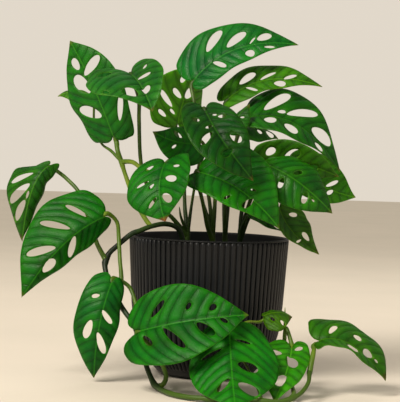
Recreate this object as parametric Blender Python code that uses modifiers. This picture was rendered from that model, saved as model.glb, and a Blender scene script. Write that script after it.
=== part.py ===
# Monstera adansonii: a young swiss cheese vine growing in a ribbed pot.
# Metres, +Z up. The origin is the centre of the pot's flat foot.
# The camera side of the plant is -Y. Leaf and stem places below are in mm.

import math

import bmesh
import bpy
from mathutils import Matrix, Vector
from mathutils.geometry import delaunay_2d_cdt

MM = 0.001

# Pot
POT_HEIGHT = 121
RIM_RADIUS = 70
WALL = 3
RIBS = 84
RIB_DEPTH = 1.0
RIB_TOP = 118
FOOT_RADIUS = 38
FLOOR = 5

# Soil
SOIL_LEVEL = 104
SEAT_GAP = 0.3
HOLE_DEPTH = 12
HOLE_CLEARANCE = 0.6

# Leaves and stems
BLADE = 0.7
VINE_RADIUS = 2.2
PETIOLE_RADIUS = 1.6
NODE_SWELL = 0.3
PETIOLE_TIP = 0.7
CROWN_RADIUS = 2.6

# Half of a heart-shaped blade: share of the length, share of the half width.
# Places before 0 are shares of the back lobe's reach behind the petiole.
HALF_BLADE = (
    (0.015, 0.0),
    (-0.55, 0.10),
    (-0.95, 0.28),
    (-0.75, 0.52),
    (0.0, 0.76),
    (0.10, 0.91),
    (0.25, 1.0),
    (0.42, 0.96),
    (0.58, 0.81),
    (0.73, 0.57),
    (0.85, 0.31),
    (0.93, 0.13),
    (1.0, 0.0),
)

# Each leaf: the midrib's base, middle and tip, the way its upper face looks, then for its
# two halves the half width, the fold at the midrib and the curl out to the edge in degrees.
# A hole is (place along, place across, length, width, angle to the midrib in degrees).
LEAVES = {
    "leaf_hanging_far_left": dict(
        base=(-140, -24, 179), middle=(-153, -34, 157), tip=(-161, -26, 113),
        face=(-0.8, -0.53, 0.27), widths=(34, 12), fold=(-22, 72), curl=(18, 50),
        widest=0.37, lobe=0.15,
        holes=(
            (0.37, 0.53, 28, 7, 50), (0.57, 0.40, 28, 9, 40), (0.74, 0.22, 18, 8, 25),
            (0.56, 0.09, 7, 3, 180),
        ),
    ),
    "leaf_hanging_left_large": dict(
        base=(-89, -52, 138), middle=(-123, -68, 113), tip=(-155, -70, 69),
        face=(0.02, -0.97, 0.23), widths=(42, 22), fold=(13, 51), curl=(19, 9),
        widest=0.29, lobe=0.07,
        holes=(
            (0.18, 0.41, 23, 5, 70), (0.41, 0.45, 28, 6, 60), (0.43, -0.42, 22, 8, 45),
            (0.64, 0.26, 25, 7, 40), (0.69, -0.20, 14, 10, 175),
        ),
    ),
    "leaf_hanging_left_low": dict(
        base=(-80, -72, 85), middle=(-89, -84, 48), tip=(-93, -68, 3),
        face=(0.18, -0.98, -0.08), widths=(23, 17), fold=(22, 10), curl=(15, 14),
        widest=0.38, lobe=0.09,
        holes=(
            (0.19, 0.39, 7, 4, 65), (0.54, 0.39, 17, 7, 10), (0.38, -0.30, 15, 5, 45),
            (0.66, -0.24, 21, 6, 25),
        ),
    ),
    "leaf_front_large": dict(
        base=(-55, -100, 48), middle=(-14, -118, 60), tip=(33, -116, 66),
        face=(-0.25, -0.83, 0.49), widths=(40, 32), fold=(-17, -14), curl=(9, 0),
        widest=0.30, lobe=0.13,
        holes=(
            (0.21, -0.45, 18, 5, 40), (0.50, -0.37, 7, 4, 50), (0.71, -0.26, 7, 5, 35),
            (0.79, 0.10, 8, 4, 50), (0.63, 0.27, 20, 8, 50), (0.36, 0.37, 31, 6, 50),
            (0.12, 0.32, 16, 5, 50),
        ),
    ),
    "leaf_front_resting": dict(
        base=(18, -116, 52), middle=(20, -144, 25), tip=(23, -178, 1),
        face=(-0.05, -0.64, 0.77), widths=(35, 40), fold=(14, 14), curl=(10, 8),
        widest=0.33, lobe=0.14,
        holes=(
            (0.24, 0.44, 19, 4, 70), (0.43, -0.34, 17, 10, 75), (0.67, 0.22, 15, 6, 45),
            (0.11, -0.27, 13, 3, 80), (0.72, -0.31, 18, 11, 60),
        ),
    ),
    "leaf_front_small": dict(
        base=(70, -90, 37), middle=(65, -117, 22), tip=(54, -147, 1),
        face=(0.08, -0.51, 0.85), widths=(25, 17), fold=(-8, -20), curl=(8, 0),
        widest=0.33, lobe=0.13,
        holes=(
            (0.22, 0.49, 10, 8, 70), (0.06, -0.35, 7, 7, 115), (0.34, -0.13, 18, 8, 30),
            (0.68, 0.08, 14, 8, 15),
        ),
    ),
    "leaf_far_right_low": dict(
        base=(91, -95, 44), middle=(118, -97, 42), tip=(147, -100, 14),
        face=(0.27, -0.71, 0.65), widths=(17, 34), fold=(-31, 5), curl=(-3, 36),
        widest=0.48, lobe=0.07,
        holes=(
            (0.22, -0.33, 13, 5, 65), (0.53, -0.36, 7, 7, 10), (0.53, 0.35, 11, 11, 10),
            (0.71, -0.11, 8, 8, 180), (0.82, -0.14, 3, 3, 15),
        ),
    ),
    "leaf_front_young": dict(
        base=(47, -74, 61), middle=(59, -74, 64), tip=(71, -70, 60),
        face=(0.15, -0.78, 0.61), widths=(20, 10), fold=(-12, 43), curl=(8, 12),
        widest=0.37, lobe=0.08,
        holes=(
            (0.25, 0.33, 6, 3, 55), (0.61, 0.54, 6, 4, 55),
        ),
    ),
    "leaf_upper_left_tall": dict(
        base=(-86, -8, 205), middle=(-104, -12, 247), tip=(-127, 0, 288),
        face=(-0.45, -0.88, -0.13), widths=(26, 31), fold=(6, 9), curl=(12, 1),
        widest=0.42, lobe=0.05,
        holes=(
            (0.69, 0.27, 22, 8, 70), (0.79, -0.21, 12, 8, 10), (0.59, -0.33, 23, 13, 25),
            (0.30, -0.46, 25, 11, 55), (0.24, 0.60, 22, 5, 25),
        ),
    ),
    "leaf_upper_left_young": dict(
        base=(-110, 24, 239), middle=(-125, 28, 244), tip=(-139, 30, 240),
        face=(-0.09, -0.56, 0.82), widths=(10, 11), fold=(15, 14), curl=(12, 12),
        widest=0.26, lobe=0.10,
        holes=(
        ),
    ),
    "leaf_upper_left_forward": dict(
        base=(-71, -32, 259), middle=(-60, -62, 247), tip=(-50, -88, 227),
        face=(0.02, -0.5, 0.87), widths=(47, 24), fold=(-25, -42), curl=(46, -3),
        widest=0.37, lobe=0.13,
        holes=(
            (0.16, 0.58, 15, 9, 60), (0.64, 0.73, 7, 4, 140), (0.68, 0.30, 14, 14, 140),
            (0.32, -0.28, 15, 5, 55), (0.60, -0.08, 9, 9, 85), (0.16, -0.52, 5, 5, 85),
        ),
    ),
    "leaf_upper_back": dict(
        base=(-31, 42, 218), middle=(-26, 45, 242), tip=(-14, 52, 272),
        face=(0.48, -0.88, 0.01), widths=(28, 35), fold=(14, -8), curl=(20, 9),
        widest=0.36, lobe=0.07,
        holes=(
            (0.75, -0.25, 8, 5, 155), (0.52, -0.26, 12, 5, 70), (0.61, 0.12, 12, 8, 25),
            (0.38, -0.52, 19, 5, 60), (0.15, -0.53, 10, 4, 65), (0.22, -0.24, 7, 3, 60),
        ),
    ),
    "leaf_top": dict(
        base=(-18, 4, 257), middle=(20, 2, 286), tip=(73, 6, 291),
        face=(-0.17, -0.85, 0.5), widths=(18, 35), fold=(-2, 11), curl=(1, -4),
        widest=0.26, lobe=0.05,
        holes=(
            (0.34, -0.59, 24, 9, 40), (0.51, -0.32, 22, 9, 30), (0.64, -0.14, 9, 2, 50),
            (0.74, -0.21, 13, 8, 25), (0.59, 0.47, 9, 7, 10), (0.77, 0.26, 9, 3, 5),
            (0.28, 0.37, 15, 5, 55),
        ),
    ),
    "leaf_upper_right": dict(
        base=(13, 8, 242), middle=(49, 4, 260), tip=(95, 2, 255),
        face=(-0.16, -0.74, 0.66), widths=(15, 22), fold=(-1, 4), curl=(-6, 5),
        widest=0.26, lobe=0.10,
        holes=(
            (0.27, -0.42, 17, 9, 20), (0.48, -0.23, 16, 4, 25), (0.70, -0.12, 12, 4, 30),
            (0.28, 0.38, 15, 3, 45), (0.60, 0.40, 11, 7, 5),
        ),
    ),
    "leaf_right_large": dict(
        base=(31, -12, 226), middle=(74, -18, 220), tip=(112, -8, 181),
        face=(0.47, -0.33, 0.82), widths=(26, 40), fold=(5, -23), curl=(13, 1),
        widest=0.29, lobe=0.05,
        holes=(
            (0.23, -0.53, 32, 11, 55), (0.30, -0.21, 8, 5, 20), (0.48, -0.43, 32, 9, 40),
            (0.22, 0.31, 12, 12, 5), (0.44, 0.46, 15, 12, 25), (0.72, -0.23, 21, 15, 20),
            (0.74, 0.31, 9, 9, 10),
        ),
    ),
    "leaf_right_back": dict(
        base=(70, 16, 185), middle=(101, 10, 167), tip=(128, 8, 159),
        face=(0.09, -0.88, 0.47), widths=(17, 29), fold=(1, -1), curl=(10, 10),
        widest=0.26, lobe=0.10,
        holes=(
            (0.57, -0.21, 13, 4, 50), (0.59, 0.15, 7, 4, 120),
        ),
    ),
    "leaf_right_inner": dict(
        base=(43, -22, 187), middle=(76, -34, 187), tip=(109, -32, 177),
        face=(-0.17, -0.97, -0.17), widths=(20, 21), fold=(12, -17), curl=(12, 9),
        widest=0.25, lobe=0.10,
        holes=(
            (0.14, -0.48, 10, 6, 40), (0.38, -0.34, 16, 8, 40), (0.67, -0.00, 7, 5, 0),
        ),
    ),
    "leaf_right_lower": dict(
        base=(46, -52, 186), middle=(73, -67, 172), tip=(102, -63, 147),
        face=(0.17, -0.87, 0.46), widths=(24, 26), fold=(12, 12), curl=(8, 12),
        widest=0.36, lobe=0.10,
        holes=(
            (0.32, 0.37, 10, 5, 70), (0.66, 0.29, 11, 5, 70), (0.40, -0.32, 9, 5, 60),
            (0.74, 0.15, 5, 2, 25),
        ),
    ),
    "leaf_centre_front": dict(
        base=(-7, -66, 230), middle=(8, -96, 205), tip=(34, -98, 173),
        face=(0.05, -0.86, 0.52), widths=(26, 23), fold=(-16, -10), curl=(10, 11),
        widest=0.34, lobe=0.14,
        holes=(
            (0.18, 0.47, 6, 5, 105), (0.29, 0.16, 8, 3, 70), (0.42, 0.46, 17, 5, 60),
            (0.13, -0.23, 4, 3, 50), (0.19, -0.44, 7, 5, 60), (0.54, -0.45, 14, 7, 10),
            (0.64, 0.13, 12, 6, 80),
        ),
    ),
    "leaf_centre_back": dict(
        base=(13, -34, 214), middle=(21, -30, 226), tip=(31, -25, 237),
        face=(-0.5, -0.75, 0.4), widths=(13, 11), fold=(10, 25), curl=(30, 30),
        widest=0.30, lobe=0.10,
        holes=(
            (0.30, 0.40, 6, 3, 55), (0.55, 0.30, 4, 2, 55),
        ),
    ),
    "leaf_centre_left": dict(
        base=(-11, -28, 202), middle=(-31, -36, 203), tip=(-51, -38, 211),
        face=(0.31, -0.83, 0.47), widths=(18, 20), fold=(4, 9), curl=(13, 12),
        widest=0.26, lobe=0.10,
        holes=(
            (0.47, 0.43, 10, 5, 30), (0.52, -0.24, 5, 2, 55),
        ),
    ),
    "leaf_left_front": dict(
        base=(-39, -56, 185), middle=(-43, -76, 163), tip=(-37, -84, 137),
        face=(-0.32, -0.82, 0.47), widths=(31, 32), fold=(-3, -24), curl=(24, 9),
        widest=0.37, lobe=0.11,
        holes=(
            (0.10, 0.39, 7, 4, 55), (0.37, 0.49, 12, 3, 70), (0.43, 0.22, 6, 3, 45),
            (0.69, 0.21, 11, 3, 45), (0.39, -0.39, 14, 6, 60), (0.68, -0.24, 12, 7, 45),
            (0.18, -0.49, 8, 3, 65),
        ),
    ),
    "leaf_right_front_wide": dict(
        base=(-11, -54, 178), middle=(25, -84, 164), tip=(57, -84, 134),
        face=(-0.02, -0.84, 0.54), widths=(23, 37), fold=(-13, -10), curl=(-1, 10),
        widest=0.25, lobe=0.05,
        holes=(
            (0.63, 0.27, 14, 6, 95), (0.45, 0.60, 7, 3, 105), (0.58, -0.18, 5, 2, 20),
        ),
    ),
    "leaf_right_rim": dict(
        base=(59, -26, 150), middle=(71, -34, 129), tip=(94, -38, 111),
        face=(0.27, -0.83, 0.5), widths=(17, 25), fold=(-33, 10), curl=(2, 9),
        widest=0.30, lobe=0.10,
        holes=(
            (0.69, -0.29, 10, 6, 160), (0.67, 0.27, 12, 2, 90), (0.20, -0.46, 9, 6, 75),
        ),
    ),
    "leaf_right_rim_small": dict(
        base=(38, -22, 143), middle=(52, -26, 137), tip=(69, -22, 128),
        face=(0.29, -0.5, 0.82), widths=(12, 12), fold=(-3, 12), curl=(-1, 12),
        widest=0.33, lobe=0.10,
        holes=(
            (0.66, 0.34, 6, 4, 40),
        ),
    ),
    "leaf_right_edge_on": dict(
        base=(27, 34, 217), middle=(45, 38, 216), tip=(60, 42, 208),
        face=(0.33, -0.45, 0.83), widths=(16, 16), fold=(12, 12), curl=(12, 12),
        widest=0.27, lobe=0.10,
        holes=(
            (0.42, 0.23, 6, 4, 45), (0.73, 0.06, 9, 9, 5),
        ),
    ),}

# Stems: each group's crown stands in the soil; routes are points in mm.
CROWNS = {
    "trailing_vine": (-22, -9),
    "stem_left": (-19, 8),
    "stem_centre": (3, -5),
    "stem_right": (14, 9),
    "stem_far_right": (27, -4),
}

# Routes that aren't petioles: group, radius, points from the crown outwards.
RUNNERS = (
    ("trailing_vine", VINE_RADIUS, (
        (-22, -9, 106), (-23, -10, 118), (-28, -12, 128), (-38, -17, 131.5), (-50, -24, 129.5),
        (-60, -29, 125.5), (-66, -31, 123.3), (-72, -33.5, 118.5), (-79, -36, 112),
        (-85, -38, 106), (-88, -41, 98), (-87, -45, 91), (-83, -52, 80), (-76, -60, 69),
        (-69, -67, 60), (-62, -74, 52), (-56, -80, 42), (-50, -90, 22), (-43, -98, 7),
        (-38, -108, 3.4), (-28, -130, 2.8), (-14, -145, 2.8), (4, -153, 3.4), (24, -156, 2.8),
        (44, -157, 3.4), (60, -157, 3.8), (73, -149, 8), (81, -135, 15), (83, -119, 22),
    )),
    ("trailing_vine", 2.1, (
        (-50, -24, 129), (-56, -22, 136), (-66, -18, 153), (-74, -14, 172), (-79, -11, 186),
    )),
)

# Short sheaths and stubs: group, radius, points from the root to the pointed end.
STUBS = (
    ("stem_centre", 1.8, ((3, -5, 122), (-3, -8, 142), (-7, -9, 154))),
    ("stem_right", 1.3, ((20, -7, 202), (25, -9, 216), (29, -8, 226))),
    ("trailing_vine", 1.3, ((65, -70, 38), (65, -66, 52), (65, -62, 67))),
    ("trailing_vine", 1.5, ((-88, -41, 103), (-93, -42, 110), (-95, -41, 118))),
    ("stem_left", 1.6, ((-19, 8, 122), (-25, 3, 136), (-27, 1, 146))),
)

# Petioles: the leaf they carry, the group they grow from, points up to the blade.
PETIOLES = (
    ("leaf_hanging_far_left", "trailing_vine", (
        (-88, -41, 101), (-97, -33, 116), (-105, -27, 137), (-113, -22, 156), (-124, -15, 167),
        (-132, -13, 173),
    )),
    ("leaf_hanging_left_large", "trailing_vine", (
        (-77, -60, 70), (-73, -58, 84), (-75, -51, 102), (-77, -42, 120), (-79, -40, 133),
    )),
    ("leaf_hanging_left_low", "trailing_vine", (
        (-57, -79, 45), (-58, -74, 57), (-61, -66, 70), (-67, -60, 81),
    )),
    ("leaf_front_large", "trailing_vine", (
        (-41, -101, 4), (-35, -104, 5), (-32, -103, 12), (-36, -101, 22), (-46, -96, 36),
    )),
    ("leaf_front_resting", "trailing_vine", (
        (4, -153, 3), (9, -142, 8), (13, -124, 22), (15, -111, 41),
    )),
    ("leaf_front_small", "trailing_vine", (
        (66, -154, 5), (70, -136, 7), (68, -110, 13), (66, -84, 22), (65, -70, 40), (66, -74, 51),
    )),
    ("leaf_front_young", "trailing_vine", (
        (44, -157, 3), (43, -136, 6), (35, -112, 20), (26, -98, 34), (23, -91, 48), (32, -84, 56),
    )),
    ("leaf_far_right_low", "trailing_vine", (
        (83, -120, 21), (85, -114, 30), (87, -106, 38),
    )),
    ("leaf_upper_left_tall", "trailing_vine", (
        (-78, -11, 183), (-82, -10, 194),
    )),
    ("leaf_upper_left_young", "trailing_vine", (
        (-79, -11, 185), (-88, -1, 193), (-98, 12, 200), (-105, 21, 218),
    )),
    ("leaf_left_front", "trailing_vine", (
        (-78, -11, 184), (-68, -20, 184), (-58, -31, 178), (-48, -44, 177),
    )),
    ("leaf_upper_left_forward", "stem_left", (
        (-19, 8, 120), (-32, 4, 135), (-48, -6, 151), (-58, -12, 171), (-62, -13, 190),
        (-64, -12, 221), (-65, -12, 240),
    )),
    ("leaf_upper_back", "stem_left", (
        (-19, 8, 124), (-22, 15, 143), (-24, 26, 169), (-28, 38, 198),
    )),
    ("leaf_centre_left", "stem_left", (
        (-19, 8, 122), (-16, 4, 150), (-12, -8, 178),
    )),
    ("leaf_top", "stem_centre", (
        (3, -5, 122), (-1, -4, 153), (-8, -5, 183), (-14, -5, 214), (-17, -1, 238),
    )),
    ("leaf_centre_front", "stem_centre", (
        (3, -5, 124), (4, -13, 153), (3, -25, 186), (-1, -42, 212),
    )),
    ("leaf_right_front_wide", "stem_centre", (
        (3, -5, 118), (-2, -13, 131), (-7, -29, 153),
    )),
    ("leaf_upper_right", "stem_right", (
        (14, 9, 124), (12, 8, 153), (10, 8, 188), (10, 8, 219),
    )),
    ("leaf_right_large", "stem_right", (
        (14, 9, 122), (16, 4, 153), (18, -2, 184), (21, -9, 206),
    )),
    ("leaf_right_edge_on", "stem_right", (
        (14, 9, 120), (16, 13, 144), (19, 22, 172), (22, 31, 200),
    )),
    ("leaf_centre_back", "stem_right", (
        (14, 9, 126), (13, 0, 153), (12, -12, 184), (12, -26, 205),
    )),
    ("leaf_right_inner", "stem_far_right", (
        (27, -4, 122), (28, -9, 147), (34, -19, 170),
    )),
    ("leaf_right_lower", "stem_far_right", (
        (27, -4, 120), (32, -18, 146), (39, -36, 170),
    )),
    ("leaf_right_back", "stem_far_right", (
        (27, -4, 121), (36, 8, 145), (48, 14, 168),
    )),
    ("leaf_right_rim", "stem_far_right", (
        (27, -4, 118), (34, -11, 139), (43, -18, 151),
    )),
    ("leaf_right_rim_small", "stem_far_right", (
        (27, -4, 114), (28, -11, 129), (31, -18, 138),
    )),
)


def material(name, colour, roughness, metallic=0.0):
    made = bpy.data.materials.new(name)
    made.use_nodes = True
    shader = made.node_tree.nodes["Principled BSDF"]
    shader.inputs["Base Color"].default_value = (*colour, 1.0)
    shader.inputs["Roughness"].default_value = roughness
    shader.inputs["Metallic"].default_value = metallic
    return made


def collection(name):
    made = bpy.data.collections.new(name)
    bpy.context.scene.collection.children.link(made)
    return made


def mesh_object(name, mesh, home, look=None):
    made = bpy.data.objects.new(name, mesh)
    home.objects.link(made)
    if look:
        mesh.materials.append(look)
    return made


def as_mesh(thing):
    # Replaces an object by a plain mesh object of its evaluated shape, caps welded.
    graph = bpy.context.evaluated_depsgraph_get()
    mesh = bpy.data.meshes.new_from_object(thing.evaluated_get(graph))
    shape = bmesh.new()
    shape.from_mesh(mesh)
    bmesh.ops.remove_doubles(shape, verts=shape.verts, dist=0.00001)
    bmesh.ops.triangulate(shape, faces=shape.faces)
    bmesh.ops.recalc_face_normals(shape, faces=shape.faces)
    shape.to_mesh(mesh)
    shape.free()
    name, place, homes = thing.name, thing.matrix_world.copy(), list(thing.users_collection)
    bpy.data.objects.remove(thing)
    made = bpy.data.objects.new(name, mesh)
    made.matrix_world = place
    for home in homes:
        home.objects.link(made)
    return made


def turned(name, profile, steps, home, look=None):
    # A profile at +X, listed from the top down its outer side, turned about Z.
    shape = bmesh.new()
    points = [shape.verts.new((r * MM, 0, z * MM)) for r, z in profile]
    for first, second in zip(points, points[1:]):
        shape.edges.new((first, second))
    mesh = bpy.data.meshes.new(name)
    shape.to_mesh(mesh)
    shape.free()
    made = mesh_object(name, mesh, home, look)
    screw = made.modifiers.new("Turn", "SCREW")
    screw.steps = steps
    screw.render_steps = steps
    screw.use_merge_vertices = True
    screw.merge_threshold = 0.00001
    bpy.context.view_layer.update()
    return as_mesh(made)


def make_pot(home, cutters, look):
    profile = (
        (0, POT_HEIGHT), (RIM_RADIUS - 0.8, POT_HEIGHT), (RIM_RADIUS, POT_HEIGHT - 0.8),
        (RIM_RADIUS, RIB_TOP + 0.6), (RIM_RADIUS - 0.2, RIB_TOP), (66.4, 62), (63.8, 39),
        (60, 26), (54.3, 15.5), (47, 6.5), (41, 1.5), (FOOT_RADIUS, 0), (0, 0),
    )
    pot = turned("pot", profile, 2 * RIBS, home, look)
    for point in pot.data.vertices:
        x, y, z = point.co
        column = round(math.atan2(y, x) / math.pi * RIBS)
        ribbed = 6 * MM < z < (RIB_TOP + 0.1) * MM
        if column % 2 and ribbed:
            out = math.hypot(x, y)
            point.co.x -= x / out * RIB_DEPTH * MM
            point.co.y -= y / out * RIB_DEPTH * MM
    inside = (
        (0, POT_HEIGHT + 5), (RIM_RADIUS - WALL, POT_HEIGHT + 5),
        (RIM_RADIUS - WALL, POT_HEIGHT - 2),
        (66.4 - WALL - 1, 62), (63.8 - WALL - 1, 39), (50, 15), (42, FLOOR), (0, FLOOR),
    )
    cutter = turned("pot_cavity", inside, 56, cutters)
    cut(pot, cutter)
    pot.data.shade_smooth()
    pot.data.set_sharp_from_angle(angle=math.radians(25))


def cut(thing, cutter):
    cutter.hide_render = True
    cutter.display_type = "WIRE"
    boolean = thing.modifiers.new("Cut", "BOOLEAN")
    boolean.operation = "DIFFERENCE"
    boolean.object = cutter


def make_soil(home, cutters, look):
    profile = (
        (0, SOIL_LEVEL + 1), (40, SOIL_LEVEL + 0.6), (60, SOIL_LEVEL), (65.0, SOIL_LEVEL - 1),
        (66.4 - WALL - 1.5, 62), (63.8 - WALL - 1.5, 39), (49.4, 15), (41.5, FLOOR + SEAT_GAP),
        (0, FLOOR + SEAT_GAP),
    )
    soil = turned("soil", profile, 40, home, look)
    for name, (x, y) in CROWNS.items():
        radius = CROWN_RADIUS + HOLE_CLEARANCE
        shape = bmesh.new()
        bmesh.ops.create_cone(
            shape, cap_ends=True, segments=12, radius1=radius * MM, radius2=radius * MM,
            depth=2 * HOLE_DEPTH * MM, matrix=Matrix.Translation((x * MM, y * MM, SOIL_LEVEL * MM)),
        )
        mesh = bpy.data.meshes.new(name + "_hole")
        shape.to_mesh(mesh)
        shape.free()
        cut(soil, mesh_object(name + "_hole", mesh, cutters))


class Blade:
    # A leaf's midrib is a quadratic curve; each half leaves it at the fold and curls evenly.

    def __init__(self, leaf):
        self.base, middle, self.tip = (Vector(leaf[key]) for key in ("base", "middle", "tip"))
        self.bend = 2 * middle - (self.base + self.tip) / 2
        self.face = Vector(leaf["face"])
        self.leaf = leaf
        self.length = (middle - self.base).length + (self.tip - middle).length

    def axes(self, along):
        share = max(along, 0)
        run = 2 * (1 - share) * (self.bend - self.base) + 2 * share * (self.tip - self.bend)
        run.normalize()
        side = run.cross(self.face).normalized()
        return run, side, side.cross(run)

    def point(self, along, across):
        # Along as a share of the length, across in mm towards the first half or, below 0, the second.
        share = max(along, 0)
        place = (1 - share) ** 2 * self.base + 2 * share * (1 - share) * self.bend
        place += share * share * self.tip
        run, side, up = self.axes(along)
        place += min(along, 0) * self.length * run
        half = 0 if across >= 0 else 1
        fold = math.radians(self.leaf["fold"][half])
        curl = math.radians(self.leaf["curl"][half] or 1) / self.leaf["widths"][half]
        reach = abs(across)
        out = (math.sin(fold + curl * reach) - math.sin(fold)) / curl
        down = (math.cos(fold) - math.cos(fold + curl * reach)) / curl
        return place + side * math.copysign(out, across) - up * down

    def outline(self):
        # The flat outline in mm: along, across.
        power = math.log(self.leaf["widest"]) / math.log(0.25)
        halves = []
        for width in (self.leaf["widths"][0], -self.leaf["widths"][1]):
            half = []
            for along, across in HALF_BLADE:
                if along < 0:
                    along *= self.leaf["lobe"]
                elif along > 0.02:
                    along = along ** power
                half.append(Vector((along * self.length, across * width)))
            halves.append(half)
        return halves[0] + halves[1][-2:0:-1]

    def holes(self):
        loops = []
        for along, across, length, width, angle in self.leaf["holes"]:
            half = 0 if across >= 0 else 1
            turn = math.radians(angle) * (1 if half == 0 else -1)
            centre = Vector((along * self.length, across * self.leaf["widths"][half]))
            sides = 7 if length * width > 60 else 6
            loop = []
            for step in range(sides):
                around = 2 * math.pi * step / sides
                spot = Vector((length / 2 * math.cos(around), width / 2 * math.sin(around)))
                spot.rotate(Matrix.Rotation(turn, 2))
                loop.append(centre + spot)
            loops.append(loop)
        return loops


def inside_loop(spot, loop):
    found = False
    for first, second in zip(loop, loop[1:] + loop[:1]):
        if (first.y > spot.y) != (second.y > spot.y):
            cross = first.x + (spot.y - first.y) / (second.y - first.y) * (second.x - first.x)
            if spot.x < cross:
                found = not found
    return found


def near_loop(spot, loops, distance):
    for loop in loops:
        for first, second in zip(loop, loop[1:] + loop[:1]):
            run = second - first
            share = max(0, min(1, (spot - first).dot(run) / run.length_squared))
            if (first + run * share - spot).length < distance:
                return True
    return False


def make_leaf(name, leaf, home, look):
    blade = Blade(leaf)
    outline = blade.outline()
    loops = [outline] + blade.holes()
    points = []
    edges = []
    for loop in loops:
        start = len(points)
        points.extend(loop)
        edges.extend((start + i, start + (i + 1) % len(loop)) for i in range(len(loop)))
    # Points on the midrib and halfway out carry the fold and the curl.
    rows = (
        (0, (0.12, 0.25, 0.38, 0.5, 0.62, 0.74, 0.86)),
        (0.5, (0.05, 0.25, 0.45, 0.65)),
        (-0.5, (0.05, 0.25, 0.45, 0.65)),
    )
    for across, row in rows:
        width = leaf["widths"][0 if across >= 0 else 1]
        for along in row:
            spot = Vector((along * blade.length, across * width))
            in_hole = any(inside_loop(spot, loop) for loop in loops[1:])
            if inside_loop(spot, outline) and not in_hole and not near_loop(spot, loops, 2.0):
                points.append(spot)
    flat, _, faces, _, _, _ = delaunay_2d_cdt(points, edges, [], 0, 0.0001)
    shape = bmesh.new()
    verts = [shape.verts.new(blade.point(p.x / blade.length, p.y) * MM) for p in flat]
    for face in faces:
        centre = sum((flat[i] for i in face), Vector((0, 0))) / len(face)
        in_hole = any(inside_loop(centre, loop) for loop in loops[1:])
        if inside_loop(centre, outline) and not in_hole:
            shape.faces.new([verts[i] for i in face])
    loose = [vert for vert in shape.verts if not vert.link_faces]
    bmesh.ops.delete(shape, geom=loose, context="VERTS")
    mesh = bpy.data.meshes.new(name)
    shape.to_mesh(mesh)
    shape.free()
    made = mesh_object(name, mesh, home, look)
    solidify = made.modifiers.new("Blade", "SOLIDIFY")
    solidify.thickness = BLADE * MM
    solidify.offset = 0
    mesh.shade_smooth()
    mesh.set_sharp_from_angle(angle=math.radians(60))
    return made


def smooth_route(points, step):
    # A smooth curve through the points, read off about every step mm.
    ends = [points[0] * 2 - points[1]] + points + [points[-1] * 2 - points[-2]]
    route = []
    for i in range(1, len(ends) - 2):
        before, first, second, after = ends[i - 1 : i + 3]
        parts = max(1, round((second - first).length / step))
        for part in range(parts):
            t = part / parts
            route.append(
                0.5
                * (
                    2 * first
                    + (second - before) * t
                    + (2 * before - 5 * first + 4 * second - after) * t * t
                    + (3 * first - before - 3 * second + after) * t ** 3
                )
            )
    route.append(points[-1])
    return route


def tube(name, points, radii, sides, home):
    curve = bpy.data.curves.new(name, "CURVE")
    curve.dimensions = "3D"
    curve.bevel_depth = MM
    curve.bevel_resolution = sides
    curve.use_fill_caps = True
    line = curve.splines.new("POLY")
    line.points.add(len(points) - 1)
    for spot, place, radius in zip(line.points, points, radii):
        spot.co = (*(place * MM), 1)
        spot.radius = radius
    made = bpy.data.objects.new(name, curve)
    home.objects.link(made)
    bpy.context.view_layer.update()
    return as_mesh(made)


def petiole_end(leaf):
    # Two last points: below the notch of the blade, then just under its midrib.
    # Both lean away from the half that is folded down more.
    blade = Blade(leaf)
    run, side, up = blade.axes(0)
    lean = (leaf["fold"][1] - leaf["fold"][0]) / 30
    drop = BLADE / 2 + SEAT_GAP + PETIOLE_TIP + 0.1 + 0.2 * abs(lean)
    before = blade.base - run * 5 - up * 2.4 + side * 1.5 * lean
    return [before, blade.base + run * 2.2 - up * drop + side * 0.3 * lean]


def make_stems(home, look):
    for group, (x, y) in CROWNS.items():
        bottom = SOIL_LEVEL - HOLE_DEPTH + SEAT_GAP
        top = 112 if group == "trailing_vine" else 128
        foot = [Vector((x, y, bottom)), Vector((x, y, 108)), Vector((x, y, top))]
        stem = tube(group, foot, (CROWN_RADIUS, CROWN_RADIUS, CROWN_RADIUS * 0.85), 2, home)
        stem.data.materials.append(look)
        joined = bpy.data.collections.new(group + "_joined")
        bpy.context.scene.collection.children.link(joined)
        for number, (owner, radius, route) in enumerate(RUNNERS):
            if owner == group:
                line = smooth_route([Vector(p) for p in route], 7)
                nodes = [Vector(rise[0]) for _, grown, rise in PETIOLES if grown == group]
                radii = []
                for spot in line:
                    near = min((spot - node).length for node in nodes)
                    radii.append(radius * (1 + NODE_SWELL * math.exp(-((near / 5) ** 2))))
                tube(f"{group}_runner_{number}", line, radii, 2, joined)
        for number, (owner, radius, route) in enumerate(STUBS):
            if owner == group:
                line = [Vector(p) for p in route]
                tube(f"{group}_stub_{number}", line, (radius, radius * 0.9, 0.5), 1, joined)
        for leaf, owner, route in PETIOLES:
            if owner == group:
                line = smooth_route([Vector(p) for p in route] + petiole_end(LEAVES[leaf]), 13)
                count = len(line) - 1
                radii = []
                for i in range(count + 1):
                    left = min(1, (count - i) / 2)
                    radii.append(PETIOLE_TIP + (PETIOLE_RADIUS - PETIOLE_TIP) * left)
                tube("petiole_" + leaf, line, radii, 1, joined)
        union = stem.modifiers.new("Join", "BOOLEAN")
        union.operation = "UNION"
        union.operand_type = "COLLECTION"
        union.collection = joined
        union.solver = "EXACT"
        bpy.context.view_layer.update()
        stem = as_mesh(stem)
        for piece in list(joined.objects):
            bpy.data.objects.remove(piece)
        bpy.data.collections.remove(joined)
        stem.data.shade_smooth()


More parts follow.
